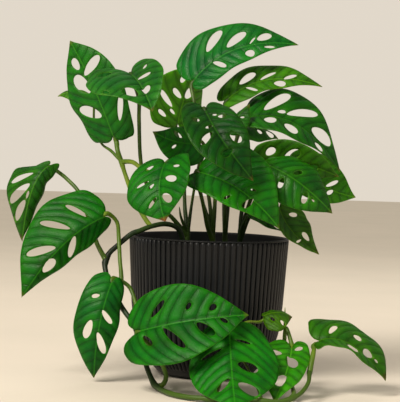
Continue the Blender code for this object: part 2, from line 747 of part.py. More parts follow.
def main():
    for old in list(bpy.data.objects):
        bpy.data.objects.remove(old)
    home = collection("monstera")
    cutters = collection("cutters")
    make_pot(home, cutters, material("black_plastic", (0.012, 0.013, 0.014), 0.5))
    make_soil(home, cutters, material("potting_soil", (0.02, 0.014, 0.01), 0.95))
    leaf_green = material("leaf_green", (0.02, 0.14, 0.01), 0.35)
    for name, leaf in LEAVES.items():
        make_leaf(name, leaf, home, leaf_green)
    make_stems(home, material("stem_green", (0.05, 0.09, 0.01), 0.45))


main()
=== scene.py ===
# Monstera adansonii in a ribbed black plastic pot: the finished look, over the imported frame.
# Places in the dictionaries are in mm, in the frame's own axes: +Z up, the camera's side is -Y.

import math
import random
from functools import partial

import bmesh
import bpy
import numpy as np
from mathutils import Euler, Matrix, Vector, noise
from mathutils.geometry import delaunay_2d_cdt


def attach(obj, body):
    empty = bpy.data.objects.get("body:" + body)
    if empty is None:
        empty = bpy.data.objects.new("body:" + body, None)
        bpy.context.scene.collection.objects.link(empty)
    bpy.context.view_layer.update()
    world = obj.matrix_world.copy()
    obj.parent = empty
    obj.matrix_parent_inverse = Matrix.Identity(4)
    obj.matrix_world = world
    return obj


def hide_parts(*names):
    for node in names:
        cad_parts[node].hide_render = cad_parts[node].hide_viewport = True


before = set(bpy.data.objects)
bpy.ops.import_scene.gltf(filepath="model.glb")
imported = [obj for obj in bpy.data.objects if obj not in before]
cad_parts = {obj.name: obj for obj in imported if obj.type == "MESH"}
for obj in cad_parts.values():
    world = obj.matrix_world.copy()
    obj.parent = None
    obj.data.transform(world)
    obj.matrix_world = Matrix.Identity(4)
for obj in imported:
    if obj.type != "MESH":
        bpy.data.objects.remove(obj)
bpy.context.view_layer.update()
print("frame loaded:", len(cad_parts), "nodes")

mm = 0.001


def linearColour(hexCode):
    # sRGB hex to the linear numbers that Blender's sockets take
    values = []
    for start in (1, 3, 5):
        share = int(hexCode[start:start + 2], 16) / 255
        values.append(share / 12.92 if share <= 0.04045 else ((share + 0.055) / 1.055) ** 2.4)
    return (*values, 1.0)


def shifted(hexCode, factor, towards="#9fae2a", share=0.0):
    # the same colour darker, lighter or nearer to another one
    values = []
    for start in (1, 3, 5):
        value = int(hexCode[start:start + 2], 16) * factor
        value += (int(towards[start:start + 2], 16) - value) * share
        values.append(max(0, min(255, round(value))))
    return "#%02x%02x%02x" % tuple(values)


def setInputs(node, inputs):
    # an input is a plain value, an output socket, or a node, which gives its first live output
    for key, value in inputs.items():
        if isinstance(key, int):
            socket = node.inputs[key]
        else:
            socket = next(each for each in node.inputs
                          if key in (each.identifier, each.name) and each.enabled)
        if isinstance(value, bpy.types.Node):
            value = next(each for each in value.outputs if each.enabled)
        if isinstance(value, bpy.types.NodeSocket):
            node.id_data.links.new(value, socket)
        else:
            socket.default_value = value


def addNode(tree, kind, inputs=None, stops=(), **settings):
    # one node with its settings and links; stops are a colour ramp's (place, hex colour)
    node = tree.nodes.new(kind)
    for name, value in settings.items():
        setattr(node, name, value)
    setInputs(node, inputs or {})
    for number, (place, colour) in enumerate(stops):
        ramp = node.color_ramp.elements
        if number == 0:
            ramp.remove(ramp[-1])
        stop = ramp.new(place) if number else ramp[0]
        stop.position = place
        stop.color = linearColour(colour)
    return node


def newMaterial(name):
    look = bpy.data.materials.new(name)
    look.use_nodes = True
    return look, look.node_tree.nodes["Principled BSDF"], partial(addNode, look.node_tree)


def tinted(add, below, source, span, shares, tint, **settings):
    # a tint over a colour; its share runs from one value to another as the source spans its range
    share = add("ShaderNodeMapRange", {0: source, 1: span[0], 2: span[1],
                                       3: shares[0], 4: shares[1]}, **settings)
    return add("ShaderNodeMix", {"Factor_Float": share, "A_Color": below,
                                 "B_Color": linearColour(tint)}, data_type="RGBA")


def newPiece(name, data, *looks):
    piece = bpy.data.objects.new(name, data)
    bpy.context.scene.collection.objects.link(piece)
    for look in looks:
        data.materials.append(look)
    return piece


def growWithNodes(name, source, tree, values):
    # runs a node tree on a source object and keeps the plain mesh that comes out
    modifier = source.modifiers.new("Grow", "NODES")
    modifier.node_group = tree
    for item in tree.interface.items_tree:
        if item.item_type == "SOCKET" and item.in_out == "INPUT" and item.name in values:
            modifier[item.identifier] = values[item.name]
    source.update_tag()
    bpy.context.view_layer.update()
    graph = bpy.context.evaluated_depsgraph_get()
    mesh = bpy.data.meshes.new_from_object(source.evaluated_get(graph))
    mesh.name = name
    source.modifiers.remove(modifier)
    bpy.data.objects.remove(source)
    return newPiece(name, mesh)


def startTree(name, inputs):
    # a geometry tree with its named inputs and their kinds, and how to end it
    tree = bpy.data.node_groups.new(name, "GeometryNodeTree")
    tree.interface.new_socket("Geometry", in_out="INPUT", socket_type="NodeSocketGeometry")
    tree.interface.new_socket("Geometry", in_out="OUTPUT", socket_type="NodeSocketGeometry")
    for label, kind in inputs.items():
        tree.interface.new_socket(label, in_out="INPUT", socket_type="NodeSocket" + kind)
    add = partial(addNode, tree)
    given = add("NodeGroupInput").outputs

    def finish(geometry, look):
        real = add("GeometryNodeRealizeInstances", {0: geometry})
        painted = add("GeometryNodeSetMaterial", {0: real, "Material": look})
        add("NodeGroupOutput", {0: painted})
        return tree

    return add, given, finish


def curveObject(name, lines):
    # poly splines of (points in mm, radii in mm)
    curve = bpy.data.curves.new(name, "CURVE")
    curve.dimensions = "3D"
    for points, radii in lines:
        spline = curve.splines.new("POLY")
        spline.points.add(len(points) - 1)
        for spot, place, radius in zip(spline.points, points, radii):
            spot.co = (*(Vector(place) * mm), 1)
            spot.radius = radius * mm
    return newPiece(name, curve)


def smoothRoute(points, step):
    # Catmull-Rom through the points, read off about every step mm
    points = [Vector(each) for each in points]
    ends = [points[0] * 2 - points[1]] + points + [points[-1] * 2 - points[-2]]
    route = []
    for i in range(1, len(ends) - 2):
        before, first, second, after = ends[i - 1:i + 3]
        parts = max(1, round((second - first).length / step))
        for part in range(parts):
            t = part / parts
            bend = 2 * before - 5 * first + 4 * second - after
            pull = 3 * first - before - 3 * second + after
            route.append(0.5 * (2 * first + (second - before) * t + bend * t * t + pull * t ** 3))
    return route + [points[-1]]


# half a blade: share of the length, share of the half width; below 0, a share of the back lobe
halfBlade = (
    (0.015, 0.0), (-0.55, 0.10), (-0.95, 0.28), (-0.75, 0.52), (0.0, 0.76), (0.10, 0.91),
    (0.25, 1.0), (0.42, 0.96), (0.58, 0.81), (0.73, 0.57), (0.85, 0.31), (0.93, 0.13), (1.0, 0.0),
)
halfWidest = 0.25  # where the half above is at its widest

leafMake = dict(
    thickness=0.55,      # mm, a thin living blade
    spacing=1.7,         # mm between the mesh points inside the blade
    jitter=0.2,          # mm that each of them strays
    clear=0.75,          # spacings that they keep from an edge
    rimStep=1.2,         # mm between the points of an outline or a hole
    holeSwell=0.16,      # share by which a hole is broader towards the leaf's edge
    veinLean=0.62,       # how far a side vein runs towards the tip for each mm out
    veinSpacing=9.0,     # mm between side veins where no hole sets them
    veinWidth=0.09,      # share of a lane that a sunk side vein takes
    quilt=0.75,          # mm that the blade swells between two side veins
    veinSink=0.45,       # mm that a side vein is sunk
    ribSink=0.55,        # mm that the midrib is sunk
    ribWidth=1.3,        # mm
    wave=0.9,            # mm of wave along the edge
    waveReach=12,        # mm in from the edge
    fullSize=70,         # mm of length from which the relief has its full height
    burnt="#8a4a2c",     # a tip that has dried
)

# base, middle and tip: three places on the midrib
# face: where the upper side looks
# widths, fold and curl: of the right half and the left half, seen with the tip upwards, in mm,
#   degrees down at the midrib, and degrees more at the edge
# widest: share of the length; lobe: share of the length behind the base
# holes: share along, share across (left is below 0), length, width, degrees from the midrib
# green: the blade's colour, partly its own tone and partly painted light and shade, yellower on
# leaves lit from behind and darker on leaves in shade
leafShapes = {
    # the share given for the vein grooves sets how dark their painted shade is
    "leaf_hanging_far_left": dict(
        base=(-140, -24, 179), middle=(-153, -34, 157), tip=(-161, -26, 113),
        face=(-0.8, -0.53, 0.27), widths=(34, 12), fold=(-22, 72), curl=(18, 50), widest=0.37,
        lobe=0.15, green="#165705",
        holes=((0.37, 0.53, 28, 7, 50), (0.57, 0.4, 28, 9, 40), (0.74, 0.22, 18, 8, 25),
               (0.56, 0.09, 7, 3, 180))),
    "leaf_hanging_left_large": dict(
        base=(-89, -52, 138), middle=(-123, -68, 113), tip=(-155, -70, 69),
        face=(0.02, -0.97, 0.23), widths=(42, 22), fold=(13, 51), curl=(19, 9), widest=0.29,
        lobe=0.07, green="#055902", grooveShade=0.4, slot="fresh_leaf",
        holes=((0.18, 0.41, 23, 5, 70), (0.41, 0.45, 28, 6, 60), (0.43, -0.42, 22, 8, 45),
               (0.64, 0.26, 25, 7, 40), (0.69, -0.2, 14, 10, 175))),
    "leaf_hanging_left_low": dict(
        base=(-80, -72, 85), middle=(-89, -84, 48), tip=(-93, -68, 3), face=(0.18, -0.98, -0.08),
        widths=(23, 17), fold=(22, 10), curl=(15, 14), widest=0.38, lobe=0.09, green="#025b0e",
        holes=((0.19, 0.39, 7, 4, 65), (0.54, 0.39, 17, 7, 10), (0.38, -0.3, 15, 5, 45),
               (0.66, -0.24, 21, 6, 25))),
    "leaf_front_large": dict(
        base=(-55, -100, 48), middle=(-14, -118, 60), tip=(33, -116, 66), face=(-0.25, -0.83, 0.49),
        widths=(40, 32), fold=(-17, -14), curl=(9, 0), widest=0.3, lobe=0.13, green="#056006",
        grooveShade=0.55, slot="fresh_leaf",
        holes=((0.21, -0.45, 18, 5, 40), (0.5, -0.37, 7, 4, 50), (0.71, -0.26, 7, 5, 35),
               (0.79, 0.1, 8, 4, 50), (0.63, 0.27, 20, 8, 50), (0.36, 0.37, 31, 6, 50),
               (0.12, 0.32, 16, 5, 50))),
    "leaf_front_resting": dict(
        base=(18, -116, 52), middle=(20, -144, 25), tip=(23, -178, 1), face=(-0.05, -0.64, 0.77),
        widths=(35, 40), fold=(14, 14), curl=(10, 8), widest=0.33, lobe=0.14, green="#086a02",
        grooveShade=0.55, slot="fresh_leaf",
        holes=((0.24, 0.44, 19, 4, 70), (0.43, -0.34, 17, 10, 75), (0.67, 0.22, 15, 6, 45),
               (0.11, -0.27, 13, 3, 80), (0.72, -0.31, 18, 11, 60))),
    "leaf_front_small": dict(
        base=(70, -90, 37), middle=(65, -117, 22), tip=(54, -147, 1), face=(0.08, -0.51, 0.85),
        widths=(25, 17), fold=(-8, -20), curl=(8, 0), widest=0.33, lobe=0.13, green="#237c02",
        grooveShade=0.5, slot="fresh_leaf",
        holes=((0.22, 0.49, 10, 8, 70), (0.06, -0.35, 7, 7, 115), (0.34, -0.13, 18, 8, 30),
               (0.68, 0.08, 14, 8, 15))),
    "leaf_far_right_low": dict(
        base=(91, -95, 44), middle=(118, -97, 42), tip=(147, -100, 14), face=(0.27, -0.71, 0.65),
        widths=(17, 34), fold=(-31, 5), curl=(-3, 36), widest=0.48, lobe=0.07, green="#205e02",
        slot="fresh_leaf",
        holes=((0.22, -0.33, 13, 5, 65), (0.53, -0.36, 7, 7, 10), (0.53, 0.35, 11, 11, 10),
               (0.71, -0.11, 8, 8, 180), (0.82, -0.14, 3, 3, 15))),
    "leaf_front_young": dict(
        base=(47, -74, 61), middle=(59, -74, 64), tip=(71, -70, 60), face=(0.15, -0.78, 0.61),
        widths=(20, 10), fold=(-12, 43), curl=(8, 12), widest=0.37, lobe=0.08, green="#2a5902",
        slot="young_leaf",
        holes=((0.25, 0.33, 6, 3, 55), (0.61, 0.54, 6, 4, 55))),
    "leaf_upper_left_tall": dict(
        base=(-86, -8, 205), middle=(-104, -12, 247), tip=(-127, 0, 288),
        face=(-0.45, -0.88, -0.13), widths=(26, 31), fold=(6, 9), curl=(12, 1), widest=0.42,
        lobe=0.05, green="#0d5e0c",
        holes=((0.69, 0.27, 22, 8, 70), (0.79, -0.21, 12, 8, 10), (0.59, -0.33, 23, 13, 25),
               (0.3, -0.46, 25, 11, 55), (0.24, 0.6, 22, 5, 25))),
    "leaf_upper_left_young": dict(
        base=(-110, 24, 239), middle=(-125, 28, 244), tip=(-139, 30, 240),
        face=(-0.09, -0.56, 0.82), widths=(10, 11), fold=(15, 14), curl=(12, 12), widest=0.26,
        lobe=0.1, green="#3a7c12", slot="young_leaf",
        holes=()),
    "leaf_upper_left_forward": dict(
        base=(-71, -32, 259), middle=(-60, -62, 247), tip=(-50, -88, 227), face=(0.02, -0.5, 0.87),
        widths=(47, 24), fold=(-25, -42), curl=(46, -3), widest=0.37, lobe=0.13, green="#125b12",
        holes=((0.16, 0.58, 15, 9, 60), (0.64, 0.73, 7, 4, 140), (0.68, 0.3, 14, 14, 140),
               (0.32, -0.28, 15, 5, 55), (0.6, -0.08, 9, 9, 85), (0.16, -0.52, 5, 5, 85))),
    "leaf_upper_back": dict(
        base=(-31, 42, 218), middle=(-26, 45, 242), tip=(-14, 52, 272), face=(0.48, -0.88, 0.01),
        widths=(28, 35), fold=(14, -8), curl=(20, 9), widest=0.36, lobe=0.07, green="#3a7f0a",
        holes=((0.75, -0.25, 8, 5, 155), (0.52, -0.26, 12, 5, 70), (0.61, 0.12, 12, 8, 25),
               (0.38, -0.52, 19, 5, 60), (0.15, -0.53, 10, 4, 65), (0.22, -0.24, 7, 3, 60))),
    "leaf_top": dict(
        base=(-18, 4, 257), middle=(20, 2, 286), tip=(73, 6, 291), face=(-0.17, -0.85, 0.5),
        widths=(18, 35), fold=(-2, 11), curl=(1, -4), widest=0.26, lobe=0.05, green="#035d19",
        grooveShade=0.25, gloss=0.26,
        holes=((0.34, -0.59, 24, 9, 40), (0.51, -0.32, 22, 9, 30), (0.64, -0.14, 9, 2, 50),
               (0.74, -0.21, 13, 8, 25), (0.59, 0.47, 9, 7, 10), (0.77, 0.26, 9, 3, 5),
               (0.28, 0.37, 15, 5, 55))),
    "leaf_upper_right": dict(
        base=(13, 8, 242), middle=(49, 4, 260), tip=(95, 2, 255), face=(-0.16, -0.74, 0.66),
        widths=(15, 22), fold=(-1, 4), curl=(-6, 5), widest=0.26, lobe=0.1, green="#296902",
        slot="fresh_leaf",
        holes=((0.27, -0.42, 17, 9, 20), (0.48, -0.23, 16, 4, 25), (0.7, -0.12, 12, 4, 30),
               (0.28, 0.38, 15, 3, 45), (0.6, 0.4, 11, 7, 5))),
    "leaf_right_large": dict(
        base=(31, -12, 226), middle=(74, -18, 220), tip=(112, -8, 181), face=(0.47, -0.33, 0.82),
        widths=(26, 40), fold=(5, -23), curl=(13, 1), widest=0.29, lobe=0.05, green="#0c5302",
        holes=((0.23, -0.53, 32, 11, 55), (0.3, -0.21, 8, 5, 20), (0.48, -0.43, 32, 9, 40),
               (0.22, 0.31, 12, 12, 5), (0.44, 0.46, 15, 12, 25), (0.72, -0.23, 21, 15, 20),
               (0.74, 0.31, 9, 9, 10))),
    "leaf_right_back": dict(
        base=(70, 16, 185), middle=(101, 10, 167), tip=(128, 8, 159), face=(0.09, -0.88, 0.47),
        widths=(17, 29), fold=(1, -1), curl=(10, 10), widest=0.26, lobe=0.1, green="#2a7205",
        holes=((0.57, -0.21, 13, 4, 50), (0.59, 0.15, 7, 4, 120))),
    "leaf_right_inner": dict(
        base=(43, -22, 187), middle=(76, -34, 187), tip=(109, -32, 177), face=(-0.17, -0.97, -0.17),
        widths=(20, 21), fold=(12, -17), curl=(12, 9), widest=0.25, lobe=0.1, green="#1f5704",
        holes=((0.14, -0.48, 10, 6, 40), (0.38, -0.34, 16, 8, 40), (0.67, -0.0, 7, 5, 0))),
    "leaf_right_lower": dict(
        base=(46, -52, 186), middle=(73, -67, 172), tip=(102, -63, 147), face=(0.17, -0.87, 0.46),
        widths=(24, 26), fold=(12, 12), curl=(8, 12), widest=0.36, lobe=0.1, green="#115804",
        gloss=0.22,
        holes=((0.32, 0.37, 10, 5, 70), (0.66, 0.29, 11, 5, 70), (0.4, -0.32, 9, 5, 60),
               (0.74, 0.15, 5, 2, 25))),
    "leaf_centre_front": dict(
        base=(-7, -66, 230), middle=(8, -96, 205), tip=(34, -98, 173), face=(0.05, -0.86, 0.52),
        widths=(26, 23), fold=(-16, -10), curl=(10, 11), widest=0.34, lobe=0.14, green="#023c02",
        gloss=0.3,
        holes=((0.18, 0.47, 6, 5, 105), (0.29, 0.16, 8, 3, 70), (0.42, 0.46, 17, 5, 60),
               (0.13, -0.23, 4, 3, 50), (0.19, -0.44, 7, 5, 60), (0.54, -0.45, 14, 7, 10),
               (0.64, 0.13, 12, 6, 80))),
    "leaf_centre_back": dict(
        base=(13, -34, 214), middle=(21, -30, 226), tip=(31, -25, 237), face=(-0.5, -0.75, 0.4),
        widths=(13, 11), fold=(10, 25), curl=(30, 30), widest=0.3, lobe=0.1, green="#0f4f0a",
        holes=((0.3, 0.4, 6, 3, 55), (0.55, 0.3, 4, 2, 55))),
    "leaf_centre_left": dict(
        base=(-11, -28, 202), middle=(-31, -36, 203), tip=(-51, -38, 211), face=(0.31, -0.83, 0.47),
        widths=(18, 20), fold=(4, 9), curl=(13, 12), widest=0.26, lobe=0.1, green="#045002",
        holes=((0.47, 0.43, 10, 5, 30), (0.52, -0.24, 5, 2, 55))),
    "leaf_left_front": dict(
        base=(-39, -56, 185), middle=(-43, -76, 163), tip=(-37, -84, 137),
        face=(-0.32, -0.82, 0.47), widths=(31, 32), fold=(-3, -24), curl=(24, 9), widest=0.37,
        lobe=0.11, green="#025b02", dryTip=0.85,
        holes=((0.1, 0.39, 7, 4, 55), (0.37, 0.49, 12, 3, 70), (0.43, 0.22, 6, 3, 45),
               (0.69, 0.21, 11, 3, 45), (0.39, -0.39, 14, 6, 60), (0.68, -0.24, 12, 7, 45),
               (0.18, -0.49, 8, 3, 65))),
    "leaf_right_front_wide": dict(
        base=(-11, -54, 178), middle=(25, -84, 164), tip=(57, -84, 134), face=(-0.02, -0.84, 0.54),
        widths=(23, 37), fold=(-13, -10), curl=(-1, 10), widest=0.25, lobe=0.05, green="#126c05",
        gloss=0.24,
        holes=((0.63, 0.27, 14, 6, 95), (0.45, 0.6, 7, 3, 105), (0.58, -0.18, 5, 2, 20))),
    "leaf_right_rim": dict(
        base=(59, -26, 150), middle=(71, -34, 129), tip=(94, -38, 111), face=(0.27, -0.83, 0.5),
        widths=(17, 25), fold=(-33, 10), curl=(2, 9), widest=0.3, lobe=0.1, green="#2b5d07",
        holes=((0.69, -0.29, 10, 6, 160), (0.67, 0.27, 12, 2, 90), (0.2, -0.46, 9, 6, 75))),
    "leaf_right_rim_small": dict(
        base=(38, -22, 143), middle=(52, -26, 137), tip=(69, -22, 128), face=(0.29, -0.5, 0.82),
        widths=(12, 12), fold=(-3, 12), curl=(-1, 12), widest=0.33, lobe=0.1, green="#14560f",
        holes=((0.66, 0.34, 6, 4, 40),)),
    "leaf_right_edge_on": dict(
        base=(27, 34, 217), middle=(45, 38, 216), tip=(60, 42, 208), face=(0.33, -0.45, 0.83),
        widths=(16, 16), fold=(12, 12), curl=(12, 12), widest=0.27, lobe=0.1, green="#1a5c12",
        holes=((0.42, 0.23, 6, 4, 45), (0.73, 0.06, 9, 9, 5))),
}


class Blade:
    # the midrib is a quadratic curve; each half leaves it at the fold and curls evenly to the edge

    def __init__(self, leaf):
        self.base, middle, self.tip = (Vector(leaf[key]) for key in ("base", "middle", "tip"))
        self.bend = 2 * middle - (self.base + self.tip) / 2
        self.face = Vector(leaf["face"])
        self.leaf = leaf
        self.length = (middle - self.base).length + (self.tip - middle).length

    def axes(self, along):
        share = max(along, 0)
        run = 2 * (1 - share) * (self.bend - self.base) + 2 * share * (self.tip - self.bend)
        run.normalize()
        side = run.cross(self.face).normalized()
        return run, side, side.cross(run)

    def point(self, x, y, lift=0.0):
        # a flat place in mm, x along the midrib and y across, lifted off the blade by lift
        along = x / self.length
        share = max(along, 0)
        place = (1 - share) ** 2 * self.base + 2 * share * (1 - share) * self.bend
        place += share * share * self.tip
        run, side, up = self.axes(along)
        place += min(along, 0) * self.length * run
        half = 0 if y >= 0 else 1
        fold = math.radians(self.leaf["fold"][half])
        curl = math.radians(self.leaf["curl"][half] or 1)  # a flat half still needs an arc
        curl /= self.leaf["widths"][half]
        turn = fold + curl * abs(y)
        out = (math.sin(turn) - math.sin(fold)) / curl
        down = (math.cos(fold) - math.cos(turn)) / curl
        outward = side * math.copysign(1, y)
        place += outward * out - up * down
        return place + lift * (outward * math.sin(turn) + up * math.cos(turn))

    def outline(self, step):
        # each half is one smooth line from the notch to the tip, so both stay pointed
        power = math.log(self.leaf["widest"]) / math.log(halfWidest)
        loop = []
        for half, width in enumerate((self.leaf["widths"][0], -self.leaf["widths"][1])):
            corners = []
            for along, across in halfBlade:
                if along < 0:
                    along *= self.leaf["lobe"]
                elif along > 0.02:  # the notch stays where it is
                    along = along ** power
                corners.append((along * self.length, across * width, 0))
            line = [Vector(each[:2]) for each in smoothRoute(corners, step)]
            loop += line if half == 0 else line[-2:0:-1]
        return loop

    def holes(self, step):
        loops = []
        for along, across, length, width, angle in self.leaf["holes"]:
            half = 0 if across >= 0 else 1
            turn = Matrix.Rotation(math.radians(angle) * (1 if half == 0 else -1), 2)
            centre = Vector((along * self.length, across * self.leaf["widths"][half]))
            count = max(14, round(math.pi * (length + width) / 2 / step))
            loop = []
            for number in range(count):
                around = 2 * math.pi * number / count
                swell = 1 + leafMake["holeSwell"] * math.cos(around)
                spot = Vector((length / 2 * math.cos(around), width / 2 * math.sin(around) * swell))
                spot.rotate(turn)
                loop.append(centre + spot)
            loops.append(loop)
        return loops

    def veinShift(self, y, half):
        # a side vein leaves the midrib steeply and bends towards the tip near the edge
        out = abs(y) / self.leaf["widths"][half]
        return leafMake["veinLean"] * abs(y) * (0.55 + 0.75 * out)

    def veinLanes(self, half):
        # where the side veins leave the midrib: midway between two holes, else evenly spaced
        width = self.leaf["widths"][half]
        starts = []
        for along, across, *_ in self.leaf["holes"]:
            if (across >= 0) == (half == 0) and abs(across) > 0.15:
                starts.append(along * self.length - self.veinShift(across * width, half))
        starts.sort()
        lanes = [(first + second) / 2 for first, second in zip(starts, starts[1:])
                 if second - first > 5]  # holes nearer than 5 mm share a lane
        gap = min(leafMake["veinSpacing"], self.length / 7)
        lanes = lanes or [0.3 * self.length]
        while lanes[0] > -0.35 * self.length:  # the back lobes have veins too
            lanes.insert(0, lanes[0] - gap)
        while lanes[-1] < 0.95 * self.length:
            lanes.append(lanes[-1] + gap)
        filled = [lanes[0]]
        for lane in lanes[1:]:  # a wide lane is parted evenly
            parts = max(1, round((lane - filled[-1]) / (1.35 * gap)))
            start = filled[-1]
            filled += [start + (lane - start) * (part + 1) / parts for part in range(parts)]
        return np.array(filled)

    def laneOf(self, x, y, half, lanes):
        # the number of the side vein that a flat place is at, with a fraction between two
        return np.interp(x - self.veinShift(y, half), lanes[half], np.arange(len(lanes[half])))


def crossings(spots, loop):
    # which of the flat spots lie inside a closed loop
    first = np.array(loop)
    second = np.roll(first, -1, axis=0)
    inside = np.zeros(len(spots), bool)
    for (ax, ay), (bx, by) in zip(first, second):
        if ay != by:
            straddles = (ay > spots[:, 1]) != (by > spots[:, 1])
            cross = ax + (spots[:, 1] - ay) / (by - ay) * (bx - ax)
            inside ^= straddles & (spots[:, 0] < cross)
    return inside


def distances(spots, loops):
    # how far each flat spot is from the nearest side of the loops, in mm
    nearest = np.full(len(spots), 1e9)
    for loop in loops:
        first = np.array(loop)
        for a, b in zip(first, np.roll(first, -1, axis=0)):
            run = b - a
            share = np.clip(((spots - a) @ run) / max(run @ run, 1e-9), 0, 1)
            nearest = np.minimum(nearest, np.linalg.norm(spots - a - share[:, None] * run, axis=1))
    return nearest


def flatBlade(blade, chance):
    # the flat mesh: the outline, the holes, the midrib and a loose hexagonal net between them
    spacing = leafMake["spacing"]
    outline, holes = (make(leafMake["rimStep"]) for make in (blade.outline, blade.holes))
    loops = [outline] + holes
    points = []
    edges = []
    for loop in loops:
        start = len(points)
        points.extend(loop)
        edges.extend((start + i, start + (i + 1) % len(loop)) for i in range(len(loop)))

    # the midrib is a line of the mesh, so that the fold stays crisp; it has a point every 2 mm
    rib = np.linspace(0.03, 0.985, round(blade.length / 2)) * blade.length
    rib = np.array(np.column_stack((rib, np.zeros(len(rib)))), np.float32).astype(float)
    free = distances(rib, loops) >= 0.5
    for hole in holes:
        free &= ~crossings(rib, hole)
    last = None
    for spot, kept in zip(rib.tolist(), free):
        if kept:
            points.append(Vector(spot))
            if last is not None:
                edges.append((last, len(points) - 1))
        last = len(points) - 1 if kept else None

    low, high = np.min(outline, axis=0), np.max(outline, axis=0)
    jitter = leafMake["jitter"]
    net = []
    for row, y in enumerate(np.arange(low[1], high[1], spacing * 0.87)):  # rows of a hexagonal net
        for x in np.arange(low[0] + (row % 2) * spacing / 2, high[0], spacing):
            net.append((x + chance.uniform(-jitter, jitter), y + chance.uniform(-jitter, jitter)))
    net = np.array(net)
    keep = crossings(net, outline) & (distances(net, loops) > leafMake["clear"] * spacing)
    keep &= np.abs(net[:, 1]) > 0.7 * spacing  # clear of the midrib
    for hole in holes:
        keep &= ~crossings(net, hole)
    points.extend(Vector(each) for each in net[keep])

    flat, _, faces, _, _, _ = delaunay_2d_cdt(points, edges, [], 0, 0.0001)
    spots = np.array(flat)
    centres = np.array([np.mean(spots[list(face)], axis=0) for face in faces])
    real = crossings(centres, outline)
    for hole in holes:
        real &= ~crossings(centres, hole)
    faces = [face for face, wanted in zip(faces, real) if wanted]
    return spots, faces, distances(spots, loops), distances(spots, [outline])


def bladeLift(blade, lanes, spots, rim, edge, phase):
    # relief: sunk midrib and side veins, swollen lanes between them, a gentle wave at the edge
    size = min(1, blade.length / leafMake["fullSize"])
    lift = np.zeros(len(spots))
    for half in (0, 1):
        mine = spots[:, 1] >= 0 if half == 0 else spots[:, 1] < 0
        x, y = spots[mine, 0], spots[mine, 1]
        lane = blade.laneOf(x, y, half, lanes)
        off = np.abs(lane - np.round(lane))
        out = np.abs(y) / blade.leaf["widths"][half]
        fade = np.clip(rim[mine] / 5, 0, 1) * np.clip(np.abs(y) / 4, 0, 1)  # to edge and midrib
        lifted = leafMake["quilt"] * size * np.sin(np.pi * off) ** 0.8 * fade
        lifted -= leafMake["veinSink"] * size * np.exp(-((off / leafMake["veinWidth"]) ** 2)) * fade
        lifted -= leafMake["ribSink"] * size * np.exp(-((y / leafMake["ribWidth"]) ** 2))
        wave = np.sin(x / blade.length * 15 + phase + 2 * half)
        wave = wave * np.clip(1 - edge[mine] / leafMake["waveReach"], 0, 1)
        lift[mine] = lifted + leafMake["wave"] * size * wave * np.clip(out * 1.5, 0, 1)
    return lift


def makeLeaf(name, leaf, upper, under):
    blade = Blade(leaf)
    chance = random.Random(name)
    spots, faces, rim, edge = flatBlade(blade, chance)
    lanes = [blade.veinLanes(half) for half in (0, 1)]
    lift = bladeLift(blade, lanes, spots, rim, edge, chance.uniform(0, 6))

    shape = bmesh.new()
    veinMap = shape.loops.layers.uv.new("veins")  # number of the side vein, cm from the midrib
    flatMap = shape.loops.layers.uv.new("blade")  # cm along the midrib and across
    rimValue = shape.verts.layers.float.new("rim")  # mm to the nearest edge
    verts = []
    for (x, y), raised, distance in zip(spots.tolist(), lift.tolist(), rim):
        verts.append(shape.verts.new(blade.point(x, y, raised) * mm))
        verts[-1][rimValue] = distance
    for face in faces:
        made = shape.faces.new([verts[i] for i in face])
        half = 0 if np.mean(spots[list(face), 1]) >= 0 else 1
        for corner, i in zip(made.loops, face):
            x, y = spots[i]
            lane = float(blade.laneOf(x, y, half, lanes))
            corner[veinMap].uv = (lane + 20 * half, abs(y) / 10)  # 20 keeps the halves apart
            corner[flatMap].uv = (x / 10, y / 10)
    loose = [vert for vert in shape.verts if not vert.link_faces]
    bmesh.ops.delete(shape, geom=loose, context="VERTS")
    shape.normal_update()
    if sum(face.normal.dot(blade.face) * face.calc_area() for face in shape.faces) < 0:
        bmesh.ops.reverse_faces(shape, faces=shape.faces)
    mesh = bpy.data.meshes.new(name)
    shape.to_mesh(mesh)
    shape.free()
    mesh.shade_smooth()
    piece = newPiece("blade_" + name[5:], mesh, upper, under)
    thick = piece.modifiers.new("Thickness", "SOLIDIFY")
    thick.thickness = leafMake["thickness"] * mm
    thick.offset = 0
    thick.material_offset = 1
    thick.material_offset_rim = 0
    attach(piece, "root")
    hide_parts(name)


